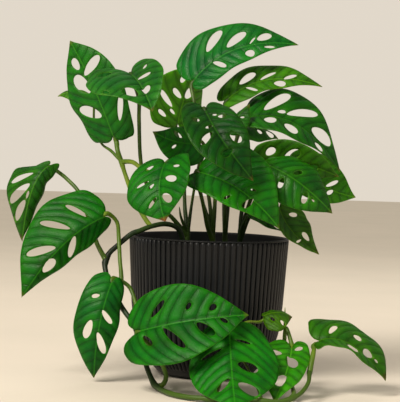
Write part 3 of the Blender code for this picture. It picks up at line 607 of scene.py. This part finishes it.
def leafMaterial(name, green, gloss):
    # Living leaf, waxy skin over soft green flesh, cut through by its side veins.
    # The eye gets painted shade in the grooves along the veins and beside the midrib, so the
    # swellings between them look paler, painted light coming through near the margin, a painted
    # blue sky sheen over the middle, a thin pale midrib, a dry tan line round each hole, and a
    # satin shine that breaks on the relief.
    look, shader, add = newMaterial(name)
    veins = add("ShaderNodeSeparateXYZ", {0: add("ShaderNodeUVMap", uv_map="veins")}).outputs
    flat = add("ShaderNodeUVMap", uv_map="blade")
    along = add("ShaderNodeSeparateXYZ", {0: flat}).outputs[0]
    rim = add("ShaderNodeAttribute", attribute_name="rim").outputs["Fac"]
    place = add("ShaderNodeTexCoord").outputs["Object"]

    # distance to the nearest side vein, 0 on it and 0.5 between two
    near = veins[0]
    for operation, value in (("ADD", 0.5), ("FRACT", 0.0), ("SUBTRACT", 0.5), ("ABSOLUTE", 0.0)):
        near = add("ShaderNodeMath", {0: near, 1: value}, operation=operation)
    # fine net of small veins in cells of 2 mm, clouds of about 20 mm, skin grain under 1 mm
    net = add("ShaderNodeTexVoronoi", {"Vector": flat, "Scale": 5.0}, feature="DISTANCE_TO_EDGE")
    cloud = add("ShaderNodeTexNoise", {"Vector": place, "Scale": 45.0, "Detail": 3.0,
                                       "Roughness": 0.55})
    grain = add("ShaderNodeTexNoise", {"Vector": flat, "Scale": 14.0, "Detail": 4.0})

    colour = add("ShaderNodeValToRGB", {0: cloud}, stops=(
        (0.30, green["deep"]), (0.50, green["body"]), (0.72, green["light"])))
    tipStart = green["tipStart"]
    for source, span, shares, tint, blend in (
        # painted light coming through the blade near its margin, a yellower green there
        (rim, (1.5, 9.0), (0.38, 0.0), green["young"], "SMOOTHSTEP"),
        # a painted blue sky sheen over the middle of the blade
        (rim, (1.5, 9.0), (0.0, 0.32), green["skySheen"], "SMOOTHSTEP"),
        # painted shade in the grooves along the side veins
        (near, (0.0, 0.36), (green["grooveShade"], 0.0), green["deep"], "SMOOTHSTEP"),
        # painted shade in the fold on both sides of the midrib
        (veins[1], (0.05, 0.5), (0.40, 0.0), green["deep"], "SMOOTHSTEP"),
        (net, (0.0, 0.10), (0.14, 0.0), green["light"], "LINEAR"),
        (near, (0.0, 0.06), (0.25, 0.0), green["vein"], "LINEAR"),
        (veins[1], (0.03, 0.085), (0.75, 0.0), green["rib"], "LINEAR"),
        (rim, (0.05, 0.55), (0.6, 0.0), green["edge"], "LINEAR"),
        (along, (tipStart, tipStart + 0.3), (0.0, green["dryTip"]), leafMake["burnt"], "LINEAR"),
    ):
        colour = tinted(add, colour, source, span, shares, tint, interpolation_type=blend)

    height = add("ShaderNodeMath", {0: grain, 1: 0.35}, operation="MULTIPLY")
    for source, width, depth in ((near, 0.06, -0.9), (net, 0.10, -0.22)):
        groove = add("ShaderNodeMapRange", {0: source, 1: 0.0, 2: width, 3: depth, 4: 0.0})
        height = add("ShaderNodeMath", {0: height, 1: groove}, operation="ADD")
    rough = {0: grain, 1: 0.25, 2: 0.75, 3: gloss, 4: gloss + 0.14}
    setInputs(shader, {
        "Base Color": colour, "Roughness": add("ShaderNodeMapRange", rough),
        "Normal": add("ShaderNodeBump", {"Height": height, "Strength": 0.55, "Distance": 0.5 * mm}),
        "IOR": 1.42, "Specular IOR Level": 0.2, "Subsurface Weight": 0.08,
        "Subsurface Radius": (0.4, 1.0, 0.15), "Subsurface Scale": mm})
    return look


# as on the upper side: a yellower margin of painted light coming through, a bluish middle of
# painted sky sheen, and painted shade in the vein grooves
underMaterial = leafMaterial("leaf_underside_matt", dict(
    deep="#27541a", body="#3a6b26", light="#4c7d33", vein="#6f9a4b", rib="#8aa85a", edge="#5f7a34",
    young="#4a7024", skySheen="#31603a", grooveShade=0.3, tipStart=30.0, dryTip=0.0), 0.5)
for name, leaf in leafShapes.items():
    body = leaf["green"]
    # painted light and shade: a yellower margin for light coming through the blade, a bluish middle
    # for the sky's sheen, darker vein grooves for the shade in them
    greens = dict(
        deep=shifted(body, 0.52), body=body, light=shifted(body, 1.2, share=0.14),
        vein=shifted(body, 0.45), rib=shifted(body, 1.2, share=0.22),
        edge=shifted(body, 1.2, share=0.35), grooveShade=leaf.get("grooveShade", 0.4),
        young=shifted(body, 1.12, "#6f9000", 0.24), skySheen=shifted(body, 0.96, "#00705a", 0.25),
        tipStart=Blade(leaf).length / 10 - 0.45, dryTip=leaf.get("dryTip", 0.25),
    )
    upper = leafMaterial("waxy_" + name, greens, leaf.get("gloss", 0.34))
    makeLeaf(name, leaf, upper, underMaterial)
print("leaves:", len(leafShapes))


# crown: x and y of the foot; top: height where its own skin ends; runners and stubs: radius, route
# petioles: the route of each leaf's stalk, up to just under the blade
stems = {
    "trailing_vine": dict(
        crown=(-22, -9), top=112,
        runners=(
            (2.2, ((-22, -9, 106), (-23, -10, 118), (-28, -12, 128), (-38, -17, 131.5),
                (-50, -24, 129.5), (-60, -29, 125.5), (-66, -31, 123.3), (-72, -33.5, 118.5),
                (-79, -36, 112), (-85, -38, 106), (-88, -41, 98), (-87, -45, 91), (-83, -52, 80),
                (-76, -60, 69), (-69, -67, 60), (-62, -74, 52), (-56, -80, 42), (-50, -90, 22),
                (-43, -98, 7), (-38, -108, 3.4), (-28, -130, 2.8), (-14, -145, 2.8), (4, -153, 3.4),
                (24, -156, 2.8), (44, -157, 3.4), (60, -157, 3.8), (73, -149, 8), (81, -135, 15),
                (83, -119, 22))),
            (2.1, ((-50, -24, 129), (-56, -22, 136), (-66, -18, 153), (-74, -14, 172),
                (-79, -11, 186))),
        ),
        stubs=(
            (1.3, ((65, -70, 38), (65, -66, 52), (65, -62, 67))),
            (1.5, ((-88, -41, 103), (-93, -42, 110), (-95, -41, 118))),
        ),
        petioles={
            "leaf_hanging_far_left": ((-88, -41, 101), (-97, -33, 116), (-105, -27, 137),
                (-113, -22, 156), (-124, -15, 167), (-132, -13, 173)),
            "leaf_hanging_left_large": ((-77, -60, 70), (-73, -58, 84), (-75, -51, 102),
                (-77, -42, 120), (-79, -40, 133)),
            "leaf_hanging_left_low": ((-57, -79, 45), (-58, -74, 57), (-61, -66, 70),
                (-67, -60, 81)),
            "leaf_front_large": ((-41, -101, 4), (-35, -104, 5), (-32, -103, 12), (-36, -101, 22),
                (-46, -96, 36)),
            "leaf_front_resting": ((4, -153, 3), (9, -142, 8), (13, -124, 22), (15, -111, 41)),
            "leaf_front_small": ((66, -154, 5), (70, -136, 7), (68, -110, 13), (66, -84, 22),
                (65, -70, 40), (66, -74, 51)),
            "leaf_front_young": ((44, -157, 3), (43, -136, 6), (35, -112, 20), (26, -98, 34),
                (23, -91, 48), (32, -84, 56)),
            "leaf_far_right_low": ((83, -120, 21), (85, -114, 30), (87, -106, 38)),
            "leaf_upper_left_tall": ((-78, -11, 183), (-82, -10, 194)),
            "leaf_upper_left_young": ((-79, -11, 185), (-88, -1, 193), (-98, 12, 200),
                (-105, 21, 218)),
            "leaf_left_front": ((-78, -11, 184), (-68, -20, 184), (-58, -31, 178), (-48, -44, 177)),
        },
    ),
    "stem_left": dict(
        crown=(-19, 8), top=128, runners=(),
        stubs=(
            (1.6, ((-19, 8, 122), (-25, 3, 136), (-27, 1, 146))),
        ),
        petioles={
            "leaf_upper_left_forward": ((-19, 8, 120), (-32, 4, 135), (-48, -6, 151),
                (-58, -12, 171), (-62, -13, 190), (-64, -12, 221), (-65, -12, 240)),
            "leaf_upper_back": ((-19, 8, 124), (-22, 15, 143), (-24, 26, 169), (-28, 38, 198)),
            "leaf_centre_left": ((-19, 8, 122), (-16, 4, 150), (-12, -8, 178)),
        },
    ),
    "stem_centre": dict(
        crown=(3, -5), top=128, runners=(),
        stubs=(
            (1.8, ((3, -5, 122), (-3, -8, 142), (-7, -9, 154))),
        ),
        petioles={
            "leaf_top": ((3, -5, 122), (-1, -4, 153), (-8, -5, 183), (-14, -5, 214),
                (-17, -1, 238)),
            "leaf_centre_front": ((3, -5, 124), (4, -13, 153), (3, -25, 186), (-1, -42, 212)),
            "leaf_right_front_wide": ((3, -5, 118), (-2, -13, 131), (-7, -29, 153)),
        },
    ),
    "stem_right": dict(
        crown=(14, 9), top=128, runners=(),
        stubs=(
            (1.3, ((20, -7, 202), (25, -9, 216), (29, -8, 226))),
        ),
        petioles={
            "leaf_upper_right": ((14, 9, 124), (12, 8, 153), (10, 8, 188), (10, 8, 219)),
            "leaf_right_large": ((14, 9, 122), (16, 4, 153), (18, -2, 184), (21, -9, 206)),
            "leaf_right_edge_on": ((14, 9, 120), (16, 13, 144), (19, 22, 172), (22, 31, 200)),
            "leaf_centre_back": ((14, 9, 126), (13, 0, 153), (12, -12, 184), (12, -26, 205)),
        },
    ),
    "stem_far_right": dict(
        crown=(27, -4), top=128, runners=(), stubs=(),
        petioles={
            "leaf_right_inner": ((27, -4, 122), (28, -9, 147), (34, -19, 170)),
            "leaf_right_lower": ((27, -4, 120), (32, -18, 146), (39, -36, 170)),
            "leaf_right_back": ((27, -4, 121), (36, 8, 145), (48, 14, 168)),
            "leaf_right_rim": ((27, -4, 118), (34, -11, 139), (43, -18, 151)),
            "leaf_right_rim_small": ((27, -4, 114), (28, -11, 129), (31, -18, 138)),
        },
    ),
}

stemMake = dict(
    sides=16,
    step=3.0,            # mm between the points of a route
    crown=2.6,           # mm radius of a crown where it leaves the soil
    taper=0.15,          # share that it thins to its top
    crownFoot=92.4,      # mm, in the soil
    petiole=1.7,         # mm radius of a petiole
    petioleTip=0.55,     # mm radius where it meets the blade
    sheath=0.55,         # mm that the sheath adds at the foot of a petiole
    sheathLength=26.0,
    collar=0.45,         # mm that the bend under a blade swells
    collarLength=5.0,
    nodeSwell=0.34,      # share that a vine swells where a petiole leaves it
    nodeReach=4.5,       # mm
    nodeRing=0.10,       # share that the scar ring adds, 3 mm from the petiole
    youngThin=0.28,      # share that the young end of a vine is thinner
)


def petioleEnd(leaf):
    # below the notch, then just under the midrib, leaning away from the half folded down more
    blade = Blade(leaf)
    run, side, up = blade.axes(0)
    lean = (leaf["fold"][1] - leaf["fold"][0]) / 30
    drop = 1.15 + 0.2 * abs(lean)
    before = blade.base - run * 5 - up * 2.2 + side * 1.5 * lean
    return [before, blade.base + run * 2.6 - up * drop + side * 0.3 * lean]


def runnerLine(radius, route, starts):
    line = smoothRoute(route, stemMake["step"])
    radii = []
    for i, spot in enumerate(line):
        near = min((spot - start).length for start in starts)
        swell = stemMake["nodeSwell"] * math.exp(-((near / stemMake["nodeReach"]) ** 2))
        ring = stemMake["nodeRing"] * math.exp(-(((near - 3) / 1.1) ** 2))
        uneven = 0.05 * noise.noise(spot * 0.12)
        thin = 1 - stemMake["youngThin"] * max(0, i / len(line) - 0.55) / 0.45
        radii.append(radius * thin * (1 + swell + ring + uneven))
    return line, radii


def stubLine(radius, route):
    # a dry sheath or a shoot tip, pointed at its end
    line = smoothRoute(route, 2)
    count = len(line) - 1
    turns = [math.pi * (0.5 + 0.5 * i / count) for i in range(count + 1)]
    return line, [radius * (0.15 + 0.85 * math.sin(turn) ** 0.7) for turn in turns]


def petioleLine(leaf, route):
    line = smoothRoute([Vector(p) for p in route] + petioleEnd(leaf), stemMake["step"])
    gone = [0.0]
    for first, second in zip(line, line[1:]):
        gone.append(gone[-1] + (second - first).length)
    size = max(0.62, min(1, Blade(leaf).length / 60))  # a small leaf has a thinner petiole
    thin = stemMake["petioleTip"]
    radii = []
    for spot, done in zip(line, gone):
        left = gone[-1] - done
        radius = stemMake["petiole"] * size
        radius += stemMake["sheath"] * max(0, 1 - done / stemMake["sheathLength"]) ** 0.7
        bend = math.exp(-(((left - 7) / stemMake["collarLength"]) ** 2))
        radius += stemMake["collar"] * size * bend
        radius *= 1 + 0.04 * noise.noise(spot * 0.15)
        if left < 5:
            radius = thin + (radius - thin) * left / 5
        radii.append(radius)
    return line, radii


def stemLines(stem):
    # every line of one crown with its radii
    x, y = stem["crown"]
    foot = smoothRoute([(x, y, stemMake["crownFoot"]), (x, y, 108), (x, y, stem["top"])], 3)
    shares = [1 - stemMake["taper"] * i / len(foot) for i in range(len(foot))]
    lines = [(foot, [stemMake["crown"] * share for share in shares])]
    starts = [Vector(route[0]) for route in stem["petioles"].values()]
    lines += [runnerLine(radius, route, starts) for radius, route in stem["runners"]]
    lines += [stubLine(radius, route) for radius, route in stem["stubs"]]
    for leafName, route in stem["petioles"].items():
        lines.append(petioleLine(leafShapes[leafName], route))
    return lines


def stemTree():
    # a round skin swept along every line, at each point's own radius
    add, given, finish = startTree("stemSkin", {"Sides": "Int", "Skin": "Material"})
    ring = add("GeometryNodeCurvePrimitiveCircle", {"Resolution": given["Sides"], "Radius": 1.0})
    skin = add("GeometryNodeCurveToMesh", {
        "Curve": given["Geometry"], "Profile Curve": ring, "Scale": add("GeometryNodeInputRadius"),
        "Fill Caps": True})
    smooth = add("GeometryNodeSetShadeSmooth", {0: skin, "Shade Smooth": True})
    return finish(smooth, given["Skin"])


def stemMaterial(name, shades, gloss, frontGreen=None):
    # Living climbing stem: smooth green skin with faint lengthwise streaks and small pale
    # flecks, so that it reads as a fleshy stalk and not as wire. A paler green takes over
    # towards the front end of the vine, in front of the pot.
    look, shader, add = newMaterial(name)
    place = add("ShaderNodeTexCoord").outputs["Object"]
    # streaks 2 mm wide and four times as long, clouds of 30 mm, flecks 2 mm apart
    squash = add("ShaderNodeMapping", {"Vector": place, "Scale": (1, 1, 0.25)})
    streak = add("ShaderNodeTexNoise", {"Vector": squash, "Scale": 420.0, "Detail": 3.0})
    patch = add("ShaderNodeTexNoise", {"Vector": place, "Scale": 30.0, "Detail": 2.0})
    fleck = add("ShaderNodeTexVoronoi", {"Vector": place, "Scale": 480.0})
    colour = add("ShaderNodeValToRGB", {0: patch}, stops=zip((0.32, 0.52, 0.70), shades))
    colour = tinted(add, colour, streak, (0.35, 0.65), (0.0, 0.35), shades[0])
    colour = tinted(add, colour, fleck, (0.08, 0.16), (0.5, 0.0), shades[2])
    if frontGreen:
        forward = add("ShaderNodeSeparateXYZ", {0: place}).outputs[1]
        colour = tinted(add, colour, forward, (-90 * mm, -135 * mm), (0.0, 0.85), frontGreen)
    rough = {0: streak, 1: 0.3, 2: 0.7, 3: gloss, 4: gloss + 0.15}
    setInputs(shader, {
        "Base Color": colour, "IOR": 1.42, "Roughness": add("ShaderNodeMapRange", rough),
        "Normal": add("ShaderNodeBump", {"Height": streak, "Strength": 0.4, "Distance": 0.3 * mm})})
    return look


vineSkin = stemMaterial("vine_skin_dark", ("#091704", "#142d09", "#2a4812"), 0.42, frontGreen="#41600f")
petioleSkin = stemMaterial("petiole_skin_fresh", ("#3a5a0c", "#557512", "#7c9426"), 0.36)
# the crown stalks: the petioles' green darkened, painted shade for the shade they stand in under
# the leaves
shadedStalkSkin = stemMaterial("stalk_skin_shaded", ("#1a300a", "#33500f", "#5a7a1e"), 0.4)
sweptStem = stemTree()
for group, stem in stems.items():
    lines = stemLines(stem)
    parts = ((group + "_stalks", lines, shadedStalkSkin, "stem"),)
    if group == "trailing_vine":  # the side shoot is as green as the petioles
        parts = (("vine_runner", lines[:2], vineSkin, "vine"),
                 ("vine_petioles", lines[2:], petioleSkin, "stem"))
    for pieceName, chosen, skin, slot in parts:
        piece = growWithNodes(pieceName, curveObject(pieceName + "_line", chosen), sweptStem,
                              {"Sides": stemMake["sides"], "Skin": skin})
        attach(piece, "root")
        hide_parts(group)
print("stems:", len(stems))


potMake = dict(
    around=252,          # points round the wall
    ribs=84,
    ribDepth=1.2,
    ribHalfWidth=2.15,
    ribFoot=7.5,         # height where the ribs begin
    ribTop=119.9,        # height where they end
    wall=3.0,
    floor=5.0,
    rim=70.0,            # radius of the band above the ribs
    # radius and height over the ribs, then under the pot
    outer=((38, 0), (41, 1.5), (47, 6.5), (54.3, 15.5), (60, 26), (63.8, 39), (66.4, 62),
           (69.8, 118)),
    foot=((0, 0), (30, 0), (36.8, 0.0), (38, 0.35), (39.4, 0.9)),
    # mm in from the rim, or out from the inner wall, and height
    lip=((1.5, 119.1), (0.9, 119.5), (0.35, 119.7), (0.1, 120.0), (0.1, 120.4), (0.45, 120.8),
         (0.95, 121.0)),
    innerLip=((0.9, 121.0), (0.35, 120.75), (0.05, 120.2), (0, 119.0), (-0.4, 112)),
    innerHeights=(100, 80, 62, 39, 26, 15.5, 9),
)


def outerRadius(z):
    table = potMake["outer"]
    return float(np.interp(z, [each[1] for each in table], [each[0] for each in table]))


def turnedMesh(name, profile, count):
    # a closed profile turned about Z; profile points on the axis become poles
    shape = bmesh.new()
    rings = []
    for radius, z in profile:
        ring = []
        for number in range(count if radius else 1):
            turn = 2 * math.pi * number / count
            place = (radius * math.cos(turn) * mm, radius * math.sin(turn) * mm, z * mm)
            ring.append(shape.verts.new(place))
        rings.append(ring)
    for first, second in zip(rings, rings[1:]):
        for number in range(count):
            after = (number + 1) % count
            if len(first) == 1:
                shape.faces.new((first[0], second[after], second[number]))
            elif len(second) == 1:
                shape.faces.new((first[number], first[after], second[0]))
            else:
                shape.faces.new((first[number], first[after], second[after], second[number]))
    bmesh.ops.recalc_face_normals(shape, faces=shape.faces)
    mesh = bpy.data.meshes.new(name)
    shape.to_mesh(mesh)
    shape.free()
    mesh.shade_smooth()
    return mesh


def potProfile():
    # from the middle of the foot up the outside, over the lip and down the inside
    rim, wall, floor = potMake["rim"], potMake["wall"], potMake["floor"]
    profile = list(potMake["foot"])
    for z in np.linspace(3, 118.2, 34):
        sunk = (potMake["ribDepth"] + 0.4) * min(1, max(0, (z - 4) / 4))  # the ribs stand in it
        profile.append((outerRadius(z) - sunk, z))
    profile += [(rim - inset, z) for inset, z in potMake["lip"]]
    profile += [(rim - wall + out, z) for out, z in potMake["innerLip"]]
    profile += [(outerRadius(z) - wall - 1, z) for z in potMake["innerHeights"]]
    return profile + [(42, floor + 0.4), (38, floor), (0, floor)]


def ribTree():
    # one rib, a flat half-round bar down the wall, repeated round the pot
    add, given, finish = startTree("potRibs", {
        "Count": "Int", "Half width": "Float", "Depth": "Float", "Plastic": "Material"})
    ring = add("GeometryNodeCurvePrimitiveCircle", {"Resolution": 12, "Radius": 1.0})
    scale = add("ShaderNodeCombineXYZ", {0: given["Half width"], 1: given["Depth"], 2: 1.0})
    oval = add("GeometryNodeTransform", {"Geometry": ring, "Scale": scale})
    bar = add("GeometryNodeCurveToMesh", {
        "Curve": given["Geometry"], "Profile Curve": oval, "Scale": add("GeometryNodeInputRadius"),
        "Fill Caps": True})
    smooth = add("GeometryNodeSetShadeSmooth", {0: bar, "Shade Smooth": True})
    spots = add("GeometryNodePoints", {"Count": given["Count"]})
    share = add("ShaderNodeMath", {0: add("GeometryNodeInputIndex"), 1: given["Count"]},
                operation="DIVIDE")
    turn = add("ShaderNodeMath", {0: share, 1: 2 * math.pi}, operation="MULTIPLY")
    copies = add("GeometryNodeInstanceOnPoints", {
        "Points": spots, "Instance": smooth, "Rotation": add("ShaderNodeCombineXYZ", {2: turn})})
    return finish(copies, given["Plastic"])


def plasticMaterial(name, shade, light, gloss):
    # Moulded polypropylene, carbon black with a fine spark-eroded mould skin: a soft satin
    # sheen, a few paler dust specks and faint scuffs.
    look, shader, add = newMaterial(name)
    place = add("ShaderNodeTexCoord").outputs["Object"]
    # mould grain of 0.7 mm, coarser than real so that it shows; scuffs of 45 mm, specks 4 mm apart
    grain = add("ShaderNodeTexNoise", {"Vector": place, "Scale": 1400.0, "Detail": 2.0})
    cloud = add("ShaderNodeTexNoise", {"Vector": place, "Scale": 22.0, "Detail": 4.0})
    dust = add("ShaderNodeTexVoronoi", {"Vector": place, "Scale": 260.0})
    colour = add("ShaderNodeValToRGB", {0: cloud}, stops=((0.30, shade), (0.70, light)))
    rough = {0: cloud, 1: 0.3, 2: 0.7, 3: gloss, 4: gloss + 0.12}
    setInputs(shader, {
        "Base Color": tinted(add, colour, dust, (0.03, 0.06), (0.25, 0.0), "#34363a"),
        "Roughness": add("ShaderNodeMapRange", rough),
        "Normal": add("ShaderNodeBump", {"Height": grain, "Strength": 0.35, "Distance": 0.2 * mm}),
        "IOR": 1.49, "Specular IOR Level": 0.36})
    return look


blackPlastic = plasticMaterial("polypropylene_moulded_black", "#05080c", "#0d1217", 0.40)
shellMesh = turnedMesh("pot_shell", potProfile(), potMake["around"])
shell = newPiece("pot_shell", shellMesh, blackPlastic)
shell.data.set_sharp_from_angle(angle=math.radians(50))
ribPath = []
ribRadii = []
top, foot = potMake["ribTop"], potMake["ribFoot"]
for z in sorted([*np.linspace(foot, top, 32), foot + 0.7, foot + 1.5, top - 0.25, top - 0.7]):
    ribPath.append((outerRadius(z) - potMake["ribDepth"], 0, z))
    close = min(1, math.sqrt(max(0.0, min((z - foot) / 2.2, (top - z) / 0.7))) + 0.05)
    ribRadii.append(close * outerRadius(z) / potMake["rim"] / mm)  # both ends close to a point
ribs = growWithNodes("pot_ribs", curveObject("pot_rib_line", [(ribPath, ribRadii)]), ribTree(), {
    "Count": potMake["ribs"], "Half width": potMake["ribHalfWidth"] * mm,
    "Depth": potMake["ribDepth"] * mm, "Plastic": blackPlastic})
for piece in (shell, ribs):
    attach(piece, "root")
    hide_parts("pot")
print("pot:", potMake["ribs"], "ribs")


soilMake = dict(
    top=104.9,
    flat=62,             # mm radius of the loose surface
    sag=0.8,             # mm that it falls to there
    grain=1.1,           # mm of unevenness
    edge=((64.2, 103.6), (65.0, 102.6), (64.6, 96), (62.9, 62), (60.3, 39), (56.4, 26), (48.9, 15),
          (41.5, 5.6), (41.0, 5.3), (0, 5.3)),
    crumbs=dict(density=70000.0, sizes=(1.5, 3.6), seed=7),    # pieces to a square metre, mm
    perlite=dict(density=3600.0, sizes=(1.2, 2.6), seed=12),
)


def soilMesh():
    top, flat = soilMake["top"], soilMake["flat"]
    rings = [(0, top), (4, top)]
    for radius in range(7, flat + 1, 3):
        rings.append((radius, top - soilMake["sag"] * (radius / flat) ** 2))
    mesh = turnedMesh("soil", rings + list(soilMake["edge"]), 96)
    for vert in mesh.vertices:
        if vert.co.z > 103 * mm and vert.co.to_2d().length < 63 * mm:
            spot = vert.co / mm
            uneven = noise.noise(spot * 0.11) + 0.6 * noise.noise(spot * 0.4)
            vert.co.z += soilMake["grain"] * mm * uneven
    return mesh


def crumbTree():
    # small lumps scattered on the upward faces of the top
    add, given, finish = startTree("soilCrumbs", {
        "Density": "Float", "Smallest": "Float", "Largest": "Float", "Seed": "Int",
        "Crumb": "Material"})
    places = []
    for kind, least in (("GeometryNodeInputNormal", 0.75), ("GeometryNodeInputPosition", 0.1025)):
        height = add("ShaderNodeSeparateXYZ", {0: add(kind)}).outputs[2]
        places.append(add("FunctionNodeCompare", {0: height, 1: least}, data_type="FLOAT",
                          operation="GREATER_THAN"))
    both = add("FunctionNodeBooleanMath", {0: places[0], 1: places[1]}, operation="AND")
    spread = add("GeometryNodeDistributePointsOnFaces", {
        "Mesh": given["Geometry"], "Selection": both, "Density": given["Density"],
        "Seed": given["Seed"]})
    lump = add("GeometryNodeMeshIcoSphere", {"Radius": 0.5, "Subdivisions": 1})
    size = add("FunctionNodeRandomValue", {
        "Min_001": given["Smallest"], "Max_001": given["Largest"], "Seed": given["Seed"]},
        data_type="FLOAT")
    flat = add("ShaderNodeVectorMath", {0: (1.0, 0.8, 0.55), "Scale": size}, operation="SCALE")
    turn = add("FunctionNodeRandomValue", {"Max": (6.28, 6.28, 6.28), "Seed": given["Seed"]},
               data_type="FLOAT_VECTOR")
    copies = add("GeometryNodeInstanceOnPoints", {
        "Points": spread, "Instance": lump, "Rotation": turn, "Scale": flat})
    return finish(copies, given["Crumb"])


def soilMaterial(name, dark, light, rough):
    # Loose peat compost: near-black fibres with paler dry crumbs, quite matt; clods of 3 mm.
    look, shader, add = newMaterial(name)
    place = add("ShaderNodeTexCoord").outputs["Object"]
    clod = add("ShaderNodeTexNoise", {"Vector": place, "Scale": 330.0, "Detail": 6.0,
                                      "Roughness": 0.7})
    setInputs(shader, {
        "Base Color": add("ShaderNodeValToRGB", {0: clod}, stops=((0.35, dark), (0.68, light))),
        "Roughness": add("ShaderNodeMapRange", {0: clod, 3: rough, 4: 1.0}),
        "Normal": add("ShaderNodeBump", {"Height": clod, "Strength": 0.9, "Distance": 1.2 * mm})})
    return look


peat = soilMaterial("peat_compost_loose", "#1a120c", "#463222", 0.85)
perliteWhite = soilMaterial("perlite_expanded", "#a39c8c", "#d8d3c6", 0.8)
soil = newPiece("soil_bed", soilMesh(), peat)
scatter = crumbTree()
grown = []
for kind, look in (("crumbs", peat), ("perlite", perliteWhite)):
    chosen = soilMake[kind]
    source = newPiece("soil_source", soil.data.copy())
    grown.append(growWithNodes("soil_" + kind, source, scatter, {
        "Density": chosen["density"], "Smallest": chosen["sizes"][0] * mm,
        "Largest": chosen["sizes"][1] * mm, "Seed": chosen["seed"], "Crumb": look}))
for piece in [soil] + grown:
    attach(piece, "root")
    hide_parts("soil")
print("soil:", [len(piece.data.polygons) for piece in grown])


studio = dict(
    floorHalf=4.5,       # m
    floorTone="#e4ddd0",
    sky="#f1e7d8",
    skyStrength=0.36,    # what the room gives as light
    seenStrength=0.86,   # how bright the same room looks to the camera
    key=dict(place=(-0.70, -0.85, 1.15), size=0.45, power=14.0, tint="#fff6ea"),
    fill=dict(place=(1.0, -0.7, 0.5), size=0.9, power=2.0, tint="#fff0dc"),
    back=dict(place=(0.35, 0.9, 1.05), size=0.6, power=4.0, tint="#fff6ea"),
    sun=dict(place=(-0.70, -0.85, 1.15), strength=1.5, spread=30.0, tint="#fff4e2"),
    aim=(0, 0, 0.16),
)

# Matt studio paint, rolled on: the eye gets an even ground, barely clouded every 17 cm.
floorLook, floorShader, add = newMaterial("rolled_paint_matt")
floorNoise = add("ShaderNodeTexNoise", {
    "Vector": add("ShaderNodeTexCoord").outputs["Object"], "Scale": 6.0, "Detail": 2.0})
floorTones = ((0.3, studio["floorTone"]), (0.7, shifted(studio["floorTone"], 1.02)))
floorColour = add("ShaderNodeValToRGB", {0: floorNoise}, stops=floorTones)
setInputs(floorShader, {"Base Color": floorColour, "Roughness": 0.8})
floorMesh = bpy.data.meshes.new("studio_floor")
far = studio["floorHalf"]
floorCorners = [(-far, -far, 0), (far, -far, 0), (far, far, 0), (-far, far, 0)]
floorMesh.from_pydata(floorCorners, [], [(0, 1, 2, 3)])
floor = newPiece("studio_floor", floorMesh, floorLook)

world = bpy.data.worlds.new("studio")
bpy.context.scene.world = world
world.use_nodes = True
seen = addNode(world.node_tree, "ShaderNodeLightPath").outputs["Is Camera Ray"]
setInputs(world.node_tree.nodes["Background"], {
    "Color": linearColour(studio["sky"]),
    "Strength": addNode(world.node_tree, "ShaderNodeMapRange", {
        0: seen, 3: studio["skyStrength"], 4: studio["seenStrength"]})})

for lampName in ("key", "fill", "back", "sun"):
    lamp = studio[lampName]
    if lampName == "sun":  # a broad, even light for the floor
        data = bpy.data.lights.new(lampName, "SUN")
        data.energy = lamp["strength"]
        data.angle = math.radians(lamp["spread"])
    else:
        data = bpy.data.lights.new(lampName, "AREA")
        data.energy = lamp["power"]
        data.size = lamp["size"]
    data.color = linearColour(lamp["tint"])[:3]
    light = newPiece(lampName, data)
    light.location = lamp["place"]
    towards = Vector(studio["aim"]) - light.location
    light.rotation_euler = towards.to_track_quat("-Z", "Y").to_euler()
    light.visible_glossy = lampName != "back"  # no grey veil on the leaves

cameraPlace = dict(
    location=(-0.009, -1.35, 0.203), tilt=2.18, roll=1.8,  # m, degrees down, degrees
    focal=1543.0, imageSize=(400, 402),                    # pixels
)
cameraData = bpy.data.cameras.new("camera")
cameraData.lens = cameraPlace["focal"] / max(cameraPlace["imageSize"]) * cameraData.sensor_width
camera = newPiece("camera", cameraData)
camera.matrix_world = (
    Matrix.Translation(cameraPlace["location"])
    @ Euler((math.radians(90 - cameraPlace["tilt"]), 0, 0)).to_matrix().to_4x4()
    @ Matrix.Rotation(math.radians(cameraPlace["roll"]), 4, "Z")
)
bpy.context.scene.camera = camera
bpy.context.scene.view_settings.view_transform = "Standard"
print("studio ready")
